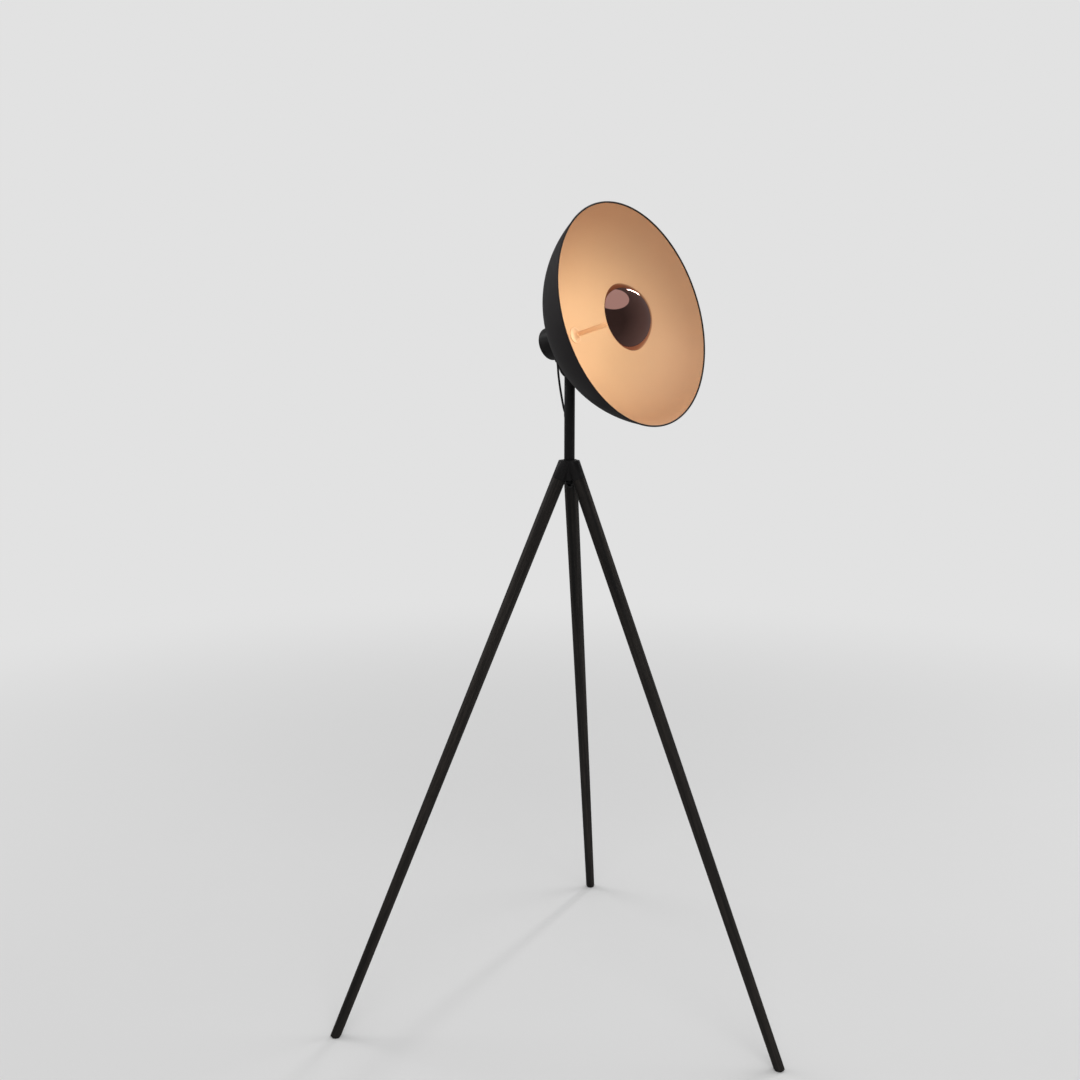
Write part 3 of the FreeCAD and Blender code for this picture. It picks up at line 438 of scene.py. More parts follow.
for index, side in enumerate(SIDES):
    place = leg_heading(index) @ Matrix.Translation(LEG_JOINT) @ Matrix.Rotation(-LEG_SPLAY, 4, "Y")
    grid = leg_grid(place)[::-1]
    fit(
        f"turned_leg_{side}", grid, [stained_wood], f"leg_{side}", "stained_wood", "root", place,
        attributes={"grain": grid + STAVE_STEP * index},
    )

# Leg studs: plain bright steel rods with broken ends. They are glued half in the leg and half in
# its socket.
bright_steel, *_ = finished(
    "bright_steel", (0.46, 0.46, 0.47), roughness=0.28, spread=0.15,
    grain=700, patches=90, depth=0.00002, sway=0.09, Metallic=1.0,
)
for side in SIDES:
    dress(f"leg_stud_{side}", bright_steel)

# Foot pads: flat glides of dense black rubber, moulded with rounded edges. They are glued under
# the level feet.
PAD_RADIUS = 0.009
PAD_EDGE = 0.001
rubber, *_ = finished(
    "black_rubber", (0.021, 0.021, 0.0205), roughness=0.66, spread=0.12,
    grain=1600, patches=150, depth=0.00006, sway=0.23,
)
foot_reach = LEG_JOINT[0] + leg_length * math.sin(LEG_SPLAY)
pad_rows = rounds(round_off([
    (0, 0),
    (PAD_RADIUS, 0, PAD_EDGE),
    (PAD_RADIUS, PAD_THICKNESS, PAD_EDGE / 4),
    (0, PAD_THICKNESS),
]))
for index, side in enumerate(SIDES):
    place = leg_heading(index) @ Matrix.Translation((foot_reach, 0, 0))
    fit(f"glide_{side}", pad_rows, [rubber], f"foot_pad_{side}", "black_rubber", "root", place)

# Pole: a straight steel tube in the same satin black coat. The cable's hole goes on a slant
# through its back, and the ends are faced square.
dress("pole_tube", black_coat, edge=0.0003)

# Pole foot: a turned steel plug, blackened, in the tube's end. Its flange runs on the thrust
# washer, and its hollow threaded end passes through the hub. The thread is a rolled one.
POLE_RADIUS = 0.011
FOOT_LEVEL = 1.1516
FLANGE_LEVEL = FOOT_LEVEL + 0.002
PLUG_TOP = FLANGE_LEVEL + 0.018
PLUG_RADIUS = 0.00945
NIPPLE_RADIUS = 0.005
NIPPLE_END = 1.133
WAY_RADIUS = 0.0032
THREAD_PITCH = 0.001
THREAD_DEPTH = 0.00055
THREAD_FLANK = 1.25
THREAD_STEPS = 8
THREAD_STOP = 0.0005
SMALL_EDGE = 0.0003


def thread(radius, low, high):
    """Rows of a thread: at height h and angle a the phase is h over the pitch less a over a full
    turn. The radius falls by the depth times the flank's slope times twice the phase's distance
    from the nearest crest, and at most by the depth, so that the root is flat. The thread runs
    out in a taper of one pitch at both ends."""
    turn = full_turn(TURNED_SIDES)
    height = np.linspace(low, high, int((high - low) / THREAD_PITCH * THREAD_STEPS) + 1)[:, None]
    phase = (height / THREAD_PITCH - turn / (2 * np.pi)) % 1
    groove = 1 - np.abs(2 * phase - 1)
    run_out = np.clip(np.minimum(height - low, high - height) / THREAD_PITCH, 0, 1)
    around = radius - THREAD_DEPTH * np.clip(groove * THREAD_FLANK, 0, 1) * run_out
    return np.stack([around * np.cos(turn), around * np.sin(turn), height + 0 * turn], axis=-1)


blackened, *_ = finished(
    "blackened_steel", (0.07, 0.07, 0.071), roughness=0.34, spread=0.2,
    grain=900, patches=180, depth=0.00002, sway=0.2, Metallic=1.0,
)
nipple_end = [
    (WAY_RADIUS, PLUG_TOP),
    (WAY_RADIUS, NIPPLE_END + SMALL_EDGE),
    (WAY_RADIUS + SMALL_EDGE, NIPPLE_END),
    (NIPPLE_RADIUS - 2 * SMALL_EDGE, NIPPLE_END),
]
plug_profile = round_off([
    (NIPPLE_RADIUS, FOOT_LEVEL - THREAD_STOP),
    (NIPPLE_RADIUS, FOOT_LEVEL),
    (POLE_RADIUS, FOOT_LEVEL, SMALL_EDGE),
    (POLE_RADIUS, FLANGE_LEVEL),
    (PLUG_RADIUS, FLANGE_LEVEL),
    (PLUG_RADIUS, PLUG_TOP, SMALL_EDGE),
    (WAY_RADIUS, PLUG_TOP),
])
nipple_thread = thread(NIPPLE_RADIUS, NIPPLE_END + 2 * SMALL_EDGE, FOOT_LEVEL - 2 * THREAD_STOP)
plug_rows = np.concatenate([rounds(nipple_end), nipple_thread, rounds(plug_profile)])
fit("pole_foot", plug_rows, [blackened], "pole_spigot", "blackened_steel", "pole")

# Swivel hardware: a washer and a hexagon nut on the pole's threaded end, under the hub. The nut
# sets how stiffly the pole swivels.
HUB_FOOT = 1.1459
WASHER_THICKNESS = 0.002
WASHER_RADIUS = 0.009
NUT_HEIGHT = 0.006
NUT_APOTHEM = 0.0085
THREAD_BORE = 0.00505
CHAMFER_SLOPE = math.tan(math.radians(30))


def ring_rows(bore, outer, low, high, ease, sides=TURNED_SIDES):
    """A ring with its four edges rounded."""
    start = (bore, (low + high) / 2)
    corners = [(bore, low), (outer, low), (outer, high), (bore, high)]
    return rounds(round_off([start, *[(*corner, ease) for corner in corners], start]), sides)


def nut_rows(bore, apothem, low, high):
    """A hexagon nut. Each end is turned to a flat cone of 30 degrees, so near the end the radius
    is the smaller of the hexagon's and the cone's, which leaves the arcs on its flats."""
    face = 0.96 * apothem
    fall = np.linspace(0, (apothem / math.cos(math.pi / 6) - face) * CHAMFER_SLOPE, num=6)
    cone = face + fall / CHAMFER_SLOPE
    edge = 0.08 * apothem
    lower = [(radius, low + drop, apothem) for radius, drop in zip(cone, fall)]
    upper = [(radius, high - drop, apothem) for radius, drop in zip(cone[::-1], fall[::-1])]
    start = [(bore, (low + high) / 2), (bore, low + edge), (bore + edge, low)]
    end = [(bore + edge, high), (bore, high - edge), (bore, (low + high) / 2)]
    return rounds([*start, *lower, *upper, *end])


washer_low = HUB_FOOT - WASHER_THICKNESS
washer_rows = ring_rows(THREAD_BORE, WASHER_RADIUS, washer_low, HUB_FOOT, SMALL_EDGE)
fit("swivel_ring", washer_rows, [blackened], "swivel_washer", "blackened_steel", "pole")
swivel_rows = nut_rows(THREAD_BORE, NUT_APOTHEM, washer_low - NUT_HEIGHT, washer_low)
fit("swivel_hexagon", swivel_rows, [blackened], "swivel_nut", "blackened_steel", "pole")

# Cable outlet: a flanged bush of black plastic in the pole's hollow end, where the mains lead
# comes out. It is pressed in, and its mouth is well rounded to spare the lead.
OUTLET_FOOT = 1.131
OUTLET_MIDDLE = 1.138
OUTLET_TOP = 1.141
OUTLET_BORE = 0.0026
OUTLET_MOUTH = 0.0007
OUTLET_NECK = 0.00315
OUTLET_FLANGE = 0.006
outlet_rows = rounds(round_off([
    (OUTLET_BORE, OUTLET_MIDDLE),
    (OUTLET_BORE, OUTLET_FOOT, OUTLET_MOUTH),
    (OUTLET_FLANGE, OUTLET_FOOT, 2 * SMALL_EDGE),
    (OUTLET_FLANGE, NIPPLE_END, SMALL_EDGE),
    (OUTLET_NECK, NIPPLE_END),
    (OUTLET_NECK, OUTLET_TOP, SMALL_EDGE / 3),
    (OUTLET_BORE, OUTLET_TOP),
    (OUTLET_BORE, OUTLET_MIDDLE),
]))
fit("outlet_bush", outlet_rows, [bearing_plastic], "cable_outlet", "bearing_plastic", "pole")

# Pole grommet: an oval rubber lip that hugs the back of the tube round the cable's slanted hole.
# It is moulded soft and pushed in from outside.
ENTRY_DROP = 0.102
ENTRY_LEAN = math.radians(31.8)
LIP_RADIUS = 0.0055
LIP_PROUD = 0.0012
LIP_EDGE = 0.0005
LIP_SUNK = 0.00005
HOLE_RADIUS = 0.00415
LOOSE_RADIUS = 0.0031
NECK_INSIDE = 0.0025
entry_place = Matrix.Translation((0, POLE_RADIUS, PIVOT_HEIGHT - ENTRY_DROP))
entry_place = entry_place @ Matrix.Rotation(-ENTRY_LEAN, 4, "X")


def hugging(rows, place):
    """Rows of points about a slanted axis, each given by its radius about that axis and the radius
    about the upright Z axis that it has to reach. Along the slanted direction d a point p reaches
    radius R at the larger root of |p + t d| = R, taken across Z."""
    rows = np.asarray(rows, float)
    start = carried(rounds(rows * [1, 0]), place)
    along = np.array(place.to_3x3())[:, 2]
    square = along[0] ** 2 + along[1] ** 2
    linear = start[..., 0] * along[0] + start[..., 1] * along[1]
    rest = start[..., 0] ** 2 + start[..., 1] ** 2 - rows[:, 1:2] ** 2
    reach = (-linear + np.sqrt(linear**2 - square * rest)) / square
    return start + reach[..., None] * along


lip_ease = 0.3 * LIP_EDGE
lip_profile = [
    (LOOSE_RADIUS, -NECK_INSIDE),
    (HOLE_RADIUS, -NECK_INSIDE),
    (HOLE_RADIUS, -LIP_SUNK),
    (LIP_RADIUS - LIP_EDGE / 2, 0),
    (LIP_RADIUS, LIP_EDGE / 2),
    (LIP_RADIUS, LIP_PROUD - LIP_EDGE),
    (LIP_RADIUS - lip_ease, LIP_PROUD - lip_ease),
    (LIP_RADIUS - LIP_EDGE, LIP_PROUD),
    (LOOSE_RADIUS + LIP_EDGE, LIP_PROUD),
    (LOOSE_RADIUS + lip_ease, LIP_PROUD - lip_ease),
    (LOOSE_RADIUS, LIP_PROUD - LIP_EDGE),
    (LOOSE_RADIUS, -NECK_INSIDE),
]
lip_rows = hugging(np.array(lip_profile) + [0, POLE_RADIUS], entry_place)
fit("entry_lip", lip_rows, [rubber], "pole_grommet", "black_rubber", "pole")

# Hinge fork: a turned steel plug in the top of the tube, slotted into two cheeks and milled flat
# where the bolt's head and nut sit. It is coated with the pole.
dress("hinge_fork", black_coat, edge=0.0004)

# Hinge bolt and nut: a blackened socket-head bolt with a hexagon nut. They clamp the fork on the
# bracket's plate, so that the head stays at any tilt.
HINGE = Matrix.Translation((0, 0, PIVOT_HEIGHT)) @ Matrix.Rotation(math.pi / 2, 4, "Y")
BOLT_RADIUS = 0.003
BOLT_TAIL = -0.014
BOLT_HEAD_RADIUS = 0.005
BOLT_FACE = 0.013
HALF_FLATS = 0.008
KEY_APOTHEM = 0.0025
KEY_MOUTH = 0.0031
KEY_RIM = 0.0032
KEY_FLOOR = 0.010
HINGE_BORE = 0.00305
TILT_NUT_APOTHEM = 0.005
TILT_NUT_END = -0.013


def socket_rows(face, floor, apothem, mouth):
    """A hexagon socket, from the rim of its chamfer in to the drill point under its floor."""
    corner = apothem / math.cos(math.pi / 6)
    chamfer = (mouth - apothem) * 0.6
    tip = floor - apothem * 0.35
    return [(mouth, face), (corner, face - chamfer, apothem), (corner, floor, apothem), (0, tip)]


bolt_head = round_off([
    (BOLT_RADIUS, -HALF_FLATS + SMALL_EDGE),
    (BOLT_RADIUS, HALF_FLATS),
    (BOLT_HEAD_RADIUS, HALF_FLATS, SMALL_EDGE / 2),
    (BOLT_HEAD_RADIUS, BOLT_FACE, 2 * SMALL_EDGE),
    (KEY_RIM, BOLT_FACE),
])
bolt_rows = np.concatenate([
    rounds([(0, BOLT_TAIL), (BOLT_RADIUS - 2 * SMALL_EDGE, BOLT_TAIL)]),
    thread(BOLT_RADIUS, BOLT_TAIL + SMALL_EDGE, -HALF_FLATS),
    rounds(bolt_head),
    rounds(socket_rows(BOLT_FACE, KEY_FLOOR, KEY_APOTHEM, KEY_MOUTH)),
])
fit("tilt_bolt", bolt_rows, [blackened], "hinge_bolt", "blackened_steel", "pole", HINGE)
tilt_nut_rows = nut_rows(HINGE_BORE, TILT_NUT_APOTHEM, TILT_NUT_END, -HALF_FLATS)
fit("tilt_nut", tilt_nut_rows, [blackened], "hinge_nut", "blackened_steel", "pole", HINGE)

# Hinge washers: two discs of slippery black plastic, stamped from sheet. They lie between the
# fork's cheeks and the bracket's plate.
DISC_RADIUS = 0.010
DISC_THICKNESS = 0.001
DISC_EDGE = 0.0002
HALF_PLATE = 0.003
disc_rows = np.stack([
    ring_rows(HINGE_BORE, DISC_RADIUS, low, low + DISC_THICKNESS, DISC_EDGE)
    for low in (HALF_PLATE, -HALF_PLATE - DISC_THICKNESS)
])
fit("friction_discs", disc_rows, [bearing_plastic], "hinge_washers", "bearing_plastic", "pole", HINGE)

# Hinge bracket: a round steel plate on the pivot, welded to a saddle that wraps the underside of
# the housing, in the satin black coat.
dress("hinge_bracket", black_coat, edge=0.0005)

# Bracket screws: four blackened button heads with hexagon sockets, two on each side of the plate.
# Their places are told on the head's own axis, which lies above the pivot and tilts with it.
HEAD_RISE = 16.1
HEAD_ABOVE = 0.0532
HEAD_AHEAD = 0.0278
HEAD = Matrix.Translation((0, 0, PIVOT_HEIGHT)) @ Matrix.Rotation(math.radians(90 - HEAD_RISE), 4, "X")
HEAD = HEAD @ Matrix.Translation((0, HEAD_ABOVE, HEAD_AHEAD))
SCREW_STEP = 0.01198
SCREW_LEVELS = (-HEAD_AHEAD - SCREW_STEP, -HEAD_AHEAD + SCREW_STEP)
SCREW_TURN = math.radians(21)
SCREW_RADIUS = 0.002
SCREW_END = 0.029
SCREW_SEAT = 0.0366
SCREW_FACE = 0.0388
SCREW_KEY_FLOOR = 0.0373
BUTTON_CROWN = [
    (0.0034, 0),
    (0.0035, 0.0002),
    (0.0035, 0.0007),
    (0.0033, 0.0013),
    (0.0029, 0.0018),
    (0.0024, 0.0021),
    (0.0019, 0.0022),
]


def outwards(height, turn):
    """A place on the head's own axis at a height, whose Z points out from the axis. A turn of zero
    points it down, towards the pole."""
    facing = Matrix.Rotation(turn, 4, "Z") @ Matrix.Rotation(math.pi / 2, 4, "X")
    return HEAD @ Matrix.Translation((0, 0, height)) @ facing


button_profile = [
    (0, SCREW_END),
    (SCREW_RADIUS, SCREW_END),
    (SCREW_RADIUS, SCREW_SEAT),
    *[(radius, SCREW_SEAT + rise) for radius, rise in BUTTON_CROWN],
    *socket_rows(SCREW_FACE, SCREW_KEY_FLOOR, apothem=0.00125, mouth=0.0016),
]
button_rows = rounds(button_profile, sides=48)
screw_places = [outwards(level, side * SCREW_TURN) for level in SCREW_LEVELS for side in (-1, 1)]
screw_grids = np.stack([carried(button_rows, place) for place in screw_places])
fit("button_screws", screw_grids, [blackened], "bracket_screws", "blackened_steel", "head")

# Back housing: a drawn steel cup behind the dish, clamped to it by the stem's nut. It has the
# satin black coat, and its edges are broken.
dress("back_housing", black_coat, edge=0.0004)

# Housing cap: a pressed and turned cover with a rounded edge. Its spigot sits in the housing, and
# a fine chamfer leaves a shadow line between the two.
CAP_FACE = -0.0705
CAP_SEAM = -0.065
CAP_RADIUS = 0.034
CAP_ROUND = 0.0035
CAP_RINGS = (0, 0.01, 0.02, 0.0295)
SEAM_CHAMFER = 0.0003
SPIGOT_RADIUS = 0.0313
SPIGOT_BORE = 0.0285
SPIGOT_END = -0.059
quarter = np.linspace(-np.pi / 2, 0, num=13)
cap_profile = [
    *[(radius, CAP_FACE) for radius in CAP_RINGS],
    *((CAP_RADIUS - CAP_ROUND, CAP_FACE + CAP_ROUND) + CAP_ROUND * circle(quarter)),
    (CAP_RADIUS, CAP_SEAM - SEAM_CHAMFER),
    (CAP_RADIUS - SEAM_CHAMFER, CAP_SEAM),
    (SPIGOT_RADIUS, CAP_SEAM),
    (SPIGOT_RADIUS, SPIGOT_END),
    (SPIGOT_BORE, SPIGOT_END),
    (SPIGOT_BORE, CAP_SEAM),
    (0, CAP_SEAM),
]
cap_rows = rounds(cap_profile, sides=144)
fit("rear_cap", cap_rows, [black_coat], "housing_cap", "black_coat", "head", HEAD)

# Cap screws: three blackened set screws with hexagon sockets. They lie just below the housing's
# surface and press on the cap's spigot.
SET_SCREW_LEVEL = -0.062
SET_SCREW_RADIUS = 0.0015
SET_SCREW_TIP = 0.0302
SET_SCREW_FACE = 0.0338
SET_SCREW_FLOOR = 0.0322
POINT_CHAMFER = 0.0004
FACE_CHAMFER = 0.0002
set_screw_profile = [
    (0, SET_SCREW_TIP),
    (SET_SCREW_RADIUS - POINT_CHAMFER, SET_SCREW_TIP),
    (SET_SCREW_RADIUS, SET_SCREW_TIP + POINT_CHAMFER),
    (SET_SCREW_RADIUS, SET_SCREW_FACE - FACE_CHAMFER),
    (SET_SCREW_RADIUS - FACE_CHAMFER, SET_SCREW_FACE),
    *socket_rows(SET_SCREW_FACE, SET_SCREW_FLOOR, apothem=0.00075, mouth=0.00095),
]
set_screw_rows = rounds(set_screw_profile, sides=36)
set_screw_places = [outwards(SET_SCREW_LEVEL, math.radians(turn)) for turn in (60, 180, 300)]
set_screw_grids = np.stack([carried(set_screw_rows, place) for place in set_screw_places])
fit("set_screws", set_screw_grids, [blackened], "cap_screws", "blackened_steel", "head")

# Driver and terminal block: a white plastic case on the cap's inner face, and the block that the
# head cable is wired to.
driver_plastic, *_ = finished(
    "driver_case", (0.75, 0.75, 0.73), roughness=0.5, spread=0.1,
    grain=800, patches=60, depth=0.00005, sway=0.027,
)
terminal_plastic, *_ = finished(
    "terminal_plastic", (0.82, 0.82, 0.8), roughness=0.42, spread=0.1,
    grain=900, patches=90, depth=0.00003, sway=0.025,
)
dress("led_driver", driver_plastic, edge=0.0015)
dress("terminal_block", terminal_plastic, edge=0.0008)

# Cable gland: black plastic. Its collar hugs the underside of the housing, and its tapered nose
# has three fine grooves that let it bend with the cable.
GLAND_LEVEL = -0.059
GLAND_RADIUS = 0.0045
GLAND_BORE = 0.0024
GLAND_NECK = 0.00315
GLAND_TIP = 0.040
GLAND_SHOULDER = 0.036
GLAND_TIP_RADIUS = 0.0035
GLAND_INSIDE = 0.0275
GROOVES = 3
GROOVE_DEPTH = 0.00022
MOUTH_EDGE = 0.0003
gland_axis = Matrix.Translation((0, 0, GLAND_LEVEL)) @ Matrix.Rotation(math.pi / 2, 4, "X")
nose = np.linspace(0, 1, num=25)
nose_radius = GLAND_RADIUS + (GLAND_TIP_RADIUS - GLAND_RADIUS) * nose
nose_radius -= GROOVE_DEPTH * np.clip(np.sin(nose * 2 * np.pi * GROOVES - np.pi / 2), 0, 1)
nose_level = GLAND_SHOULDER + (GLAND_TIP - MOUTH_EDGE - GLAND_SHOULDER) * nose
nose_profile = [
    *zip(nose_radius, nose_level),
    (GLAND_TIP_RADIUS - MOUTH_EDGE, GLAND_TIP),
    (GLAND_BORE + MOUTH_EDGE, GLAND_TIP),
    (GLAND_BORE, GLAND_TIP - MOUTH_EDGE),
    (GLAND_BORE, GLAND_INSIDE),
]
gland_grid = np.concatenate([
    carried(rounds([(GLAND_BORE, GLAND_INSIDE), (GLAND_NECK, GLAND_INSIDE)]), gland_axis),
    hugging([(GLAND_NECK, CAP_RADIUS), (GLAND_RADIUS, CAP_RADIUS)], gland_axis),
    carried(rounds(nose_profile), gland_axis),
])
fit("strain_relief", gland_grid, [bearing_plastic], "cable_gland", "bearing_plastic", "head", HEAD)

# Dish: one spun sheet of aluminium with its edge rolled round a wire. It is coated matt black on
# the outside and over the bead, and satin copper inside, where the lathe's marks just show.
DISH_RIM = 0.225
DISH_DEPTH = 0.1604178
DISH_WALL = 0.0015
DISH_SEAT = 0.018
DISH_FLAT = 0.012
HOLE = 0.0051
BEAD_RADIUS = 0.0017
DISH_ROWS = 84
BEAD_ROWS = 16
DISH_SIDES = 240
dish_ball = (DISH_RIM**2 + DISH_DEPTH**2) / DISH_DEPTH / 2
inner_ball = dish_ball - DISH_WALL
seat_level = dish_ball - math.sqrt(dish_ball**2 - DISH_SEAT**2)
dish_floor = seat_level + DISH_WALL
floor_radius = math.sqrt(inner_ball**2 - (dish_ball - dish_floor) ** 2)


def ball_arc(ball, middle, side, start, end, rows):
    """Radius and height along a ball, between two radii: at angle a from the axis they are the
    ball times sin a, and the middle's height plus or, on the lower side, less the ball times
    cos a."""
    angle = np.linspace(math.asin(start / ball), math.asin(end / ball), rows)
    return np.stack([ball * np.sin(angle), middle + side * ball * np.cos(angle)], axis=-1)


# The bead's circle is centred on the middle of the sheet's edge. It starts and ends where it
# meets the sheet's two faces.
middle_share = 1 - DISH_WALL / 2 / dish_ball
bead_centre = np.array([DISH_RIM, DISH_DEPTH - dish_ball]) * middle_share + [0, dish_ball]
edge_lean = math.asin(DISH_RIM / dish_ball)
half_mouth = math.asin(DISH_WALL / 2 / BEAD_RADIUS)
bead_turn = np.linspace(edge_lean - np.pi + half_mouth, edge_lean + np.pi - half_mouth, BEAD_ROWS)
bead = bead_centre + BEAD_RADIUS * circle(bead_turn)
dish_profile = np.array([
    (HOLE, seat_level),
    (DISH_FLAT, seat_level),
    *ball_arc(dish_ball, dish_ball, -1, DISH_SEAT, bead[0, 0], DISH_ROWS)[:-1],
    *bead,
    *ball_arc(inner_ball, dish_ball, -1, bead[-1, 0], floor_radius, DISH_ROWS)[1:],
    (DISH_FLAT, dish_floor),
    (HOLE, dish_floor),
])
dish_steps = np.linalg.norm(np.diff(dish_profile, axis=0), axis=1)
dish_along = np.repeat(np.concatenate([[0], np.cumsum(dish_steps)])[:, None], DISH_SIDES, axis=1)
copper_from = 2 + DISH_ROWS - 1 + BEAD_ROWS - 1
dish_finish = np.where(np.arange(len(dish_profile)) < copper_from, 0, 1)

# The marks of a spun piece: fine rings by the distance along its profile, that waver in depth.
# They lie over the copper's fine skin and make it a little duller and brighter by turns.
RING_SPACING = 0.0016
RING_DEPTH = 0.00002
RING_MIDDLE = 0.25
RING_SWING = 0.16
spin, take, give = effect(
    "spin_marks", {"Along": "Float", "Place": "Vector"}, {"Height": "Float", "Swing": "Float"}
)
turns = reckon(spin, take["Along"], RING_SPACING, "DIVIDE")
one_way = {"noise_dimensions": "1D"}
rings = add_node(spin, "TexNoise", one_way, W=turns, Scale=1.0, Detail=3.0, Roughness=0.6)
waver = add_node(spin, "TexNoise", Vector=take["Place"], Scale=9.0, Detail=2.0)
ring_height = reckon(spin, rings.outputs["Fac"], waver.outputs["Fac"], "MULTIPLY")
centred = reckon(spin, ring_height, RING_MIDDLE, "SUBTRACT")
fill(spin, give, Height=ring_height, Swing=reckon(spin, centred, RING_SWING, "MULTIPLY"))

dish_coat, *_ = finished(
    "dish_coat", (0.0165, 0.0135, 0.0150), roughness=0.46, spread=0.10,
    grain=1300, patches=9, depth=0.00006, sway=0.23,
)
satin_copper, copper_tree, copper_shader = finished(
    "satin_copper", (0.77, 0.475, 0.28), roughness=0.50, spread=0.06,
    grain=1000, patches=6, depth=0.00002, sway=0.04, Metallic=0.35,
)
along = add_node(copper_tree, "Attribute", {"attribute_name": "along"}).outputs["Fac"]
place = add_node(copper_tree, "TexCoord").outputs["Object"]
marks = add_node(copper_tree, "Group", {"node_tree": spin}, Along=along, Place=place).outputs
skin_roughness, skin_normal = [
    copper_shader.inputs[label].links[0].from_socket for label in ("Roughness", "Normal")
]
relief = add_node(
    copper_tree, "Bump", Height=marks["Height"], Strength=0.25, Distance=RING_DEPTH, Normal=skin_normal
)
ringed = reckon(copper_tree, skin_roughness, marks["Swing"])
fill(copper_tree, copper_shader, Roughness=ringed, Normal=relief.outputs["Normal"])
dish_rows = rounds(dish_profile, DISH_SIDES)
fit(
    "spun_dish", dish_rows, [dish_coat, satin_copper], "dish_shade", "dish_coat", "head", HEAD,
    rows=dish_finish, wrap_rows=True, attributes={"along": dish_along},
)

# Stem: a copper-plated tube with a fine satin polish, and its flared foot on the dish's floor.
# The tube goes through the foot, the dish and the housing.
STEM_RADIUS = 0.005
STEM_BORE = 0.0035
STEM_FOOT = -0.014
STEM_GRIP = 0.00505
STEM_EDGE = 0.0004
STEM_IN_BOSS = 0.012
BOWL_INSET = 0.021
BOWL_DEPTH = 0.042
BOWL_WALL = 0.0015
BOSS_LENGTH = 0.020
FLANGE_RADIUS = 0.0165
FLANGE_EDGE = 0.002
FLANGE_HEIGHT = 0.012
copper_tube, *_ = finished(
    "copper_tube", (0.82, 0.545, 0.345), roughness=0.55, spread=0.08,
    grain=1200, patches=40, depth=0.00001, sway=0.05, Metallic=0.3,
)
bowl_rim_level = DISH_DEPTH - BOWL_INSET
bowl_top = bowl_rim_level + BOWL_DEPTH
boss_foot = bowl_top - BOWL_WALL - BOSS_LENGTH
stem_top = boss_foot + STEM_IN_BOSS
stem_rows = ring_rows(STEM_BORE, STEM_RADIUS, STEM_FOOT, stem_top, STEM_EDGE, sides=64)
fit("copper_stem", stem_rows, [copper_tube], "stem_tube", "copper_tube", "head", HEAD)
flare = FLANGE_HEIGHT - FLANGE_EDGE
flange_top = dish_floor + FLANGE_HEIGHT
fillet = np.linspace(-np.pi / 2, -np.pi, num=17)[1:]
flare_profile = (FLANGE_RADIUS, flange_top) + flare * circle(fillet)
flange_profile = [
    *round_off([
        (STEM_GRIP, dish_floor),
        (FLANGE_RADIUS, dish_floor, SMALL_EDGE),
        (FLANGE_RADIUS, dish_floor + FLANGE_EDGE, 0.0007),
        flare_profile[1],
    ]),
    *flare_profile[2:],
    (FLANGE_RADIUS - flare - SMALL_EDGE, flange_top),
    (STEM_GRIP, flange_top),
]
flange_rows = rounds(flange_profile, sides=144)
fit("flared_foot", flange_rows, [copper_tube], "stem_flange", "copper_tube", "head", HEAD, wrap_rows=True)

# Stem washer and nut: bright steel, on the stem's foot inside the housing. They clamp the stem,
# the dish and the housing together.
STEM_RING_TOP = -0.003
STEM_RING_FOOT = -0.0045
stem_ring_rows = ring_rows(STEM_GRIP, WASHER_RADIUS, STEM_RING_FOOT, STEM_RING_TOP, SMALL_EDGE)
fit("stem_ring", stem_ring_rows, [bright_steel], "stem_washer", "hardware_steel", "head", HEAD)
stem_nut_rows = nut_rows(STEM_GRIP, NUT_APOTHEM, STEM_RING_FOOT - NUT_HEIGHT, STEM_RING_FOOT)
fit("stem_hexagon", stem_nut_rows, [bright_steel], "stem_nut", "hardware_steel", "head", HEAD)

# Small bowl: spun brass, polished to a mirror and plated rose copper. It hides the light; its
# inward lip holds the diffuser, and the boss inside screws on to the stem.
BOWL_RIM = 0.0682
BOWL_LIP = 0.0622
LIP_THICKNESS = 0.0012
BOSS_RADIUS = 0.007
BOSS_GAP = 0.0001
BOWL_EDGE = 0.0004
bowl_ball = (BOWL_RIM**2 + BOWL_DEPTH**2) / BOWL_DEPTH / 2
bowl_middle = bowl_top - bowl_ball
bowl_inner = bowl_ball - BOWL_WALL
lip_level = bowl_rim_level + LIP_THICKNESS
boss_floor = stem_top + BOSS_GAP
lip_reach = math.sqrt(bowl_inner**2 - (lip_level - bowl_middle) ** 2)
bowl_profile = [
    (0, boss_floor),
    (STEM_GRIP, boss_floor),
    (STEM_GRIP, boss_foot),
    (BOSS_RADIUS, boss_foot),
    *ball_arc(bowl_inner, bowl_middle, 1, BOSS_RADIUS, lip_reach, rows=24),
    (BOWL_LIP, lip_level),
    (BOWL_LIP, bowl_rim_level + BOWL_EDGE),
    (BOWL_LIP + BOWL_EDGE, bowl_rim_level),
    (BOWL_RIM - 2 * BOWL_EDGE, bowl_rim_level),
    (BOWL_RIM - BOWL_EDGE / 2, bowl_rim_level + BOWL_EDGE / 3),
    *ball_arc(bowl_ball, bowl_middle, 1, BOWL_RIM - BOWL_EDGE / 3, 0, rows=90)[1:],
]
mirror, *_ = finished(
    "copper_mirror", (0.45, 0.24, 0.205), roughness=0.03, spread=0.02,
    grain=300, patches=18, depth=0.0000004, sway=0.02, Metallic=1.0,
)
bowl_rows = rounds(bowl_profile, sides=216)
fit("mirror_bowl", bowl_rows, [mirror], "reflector_bowl", "copper_mirror", "head", HEAD)

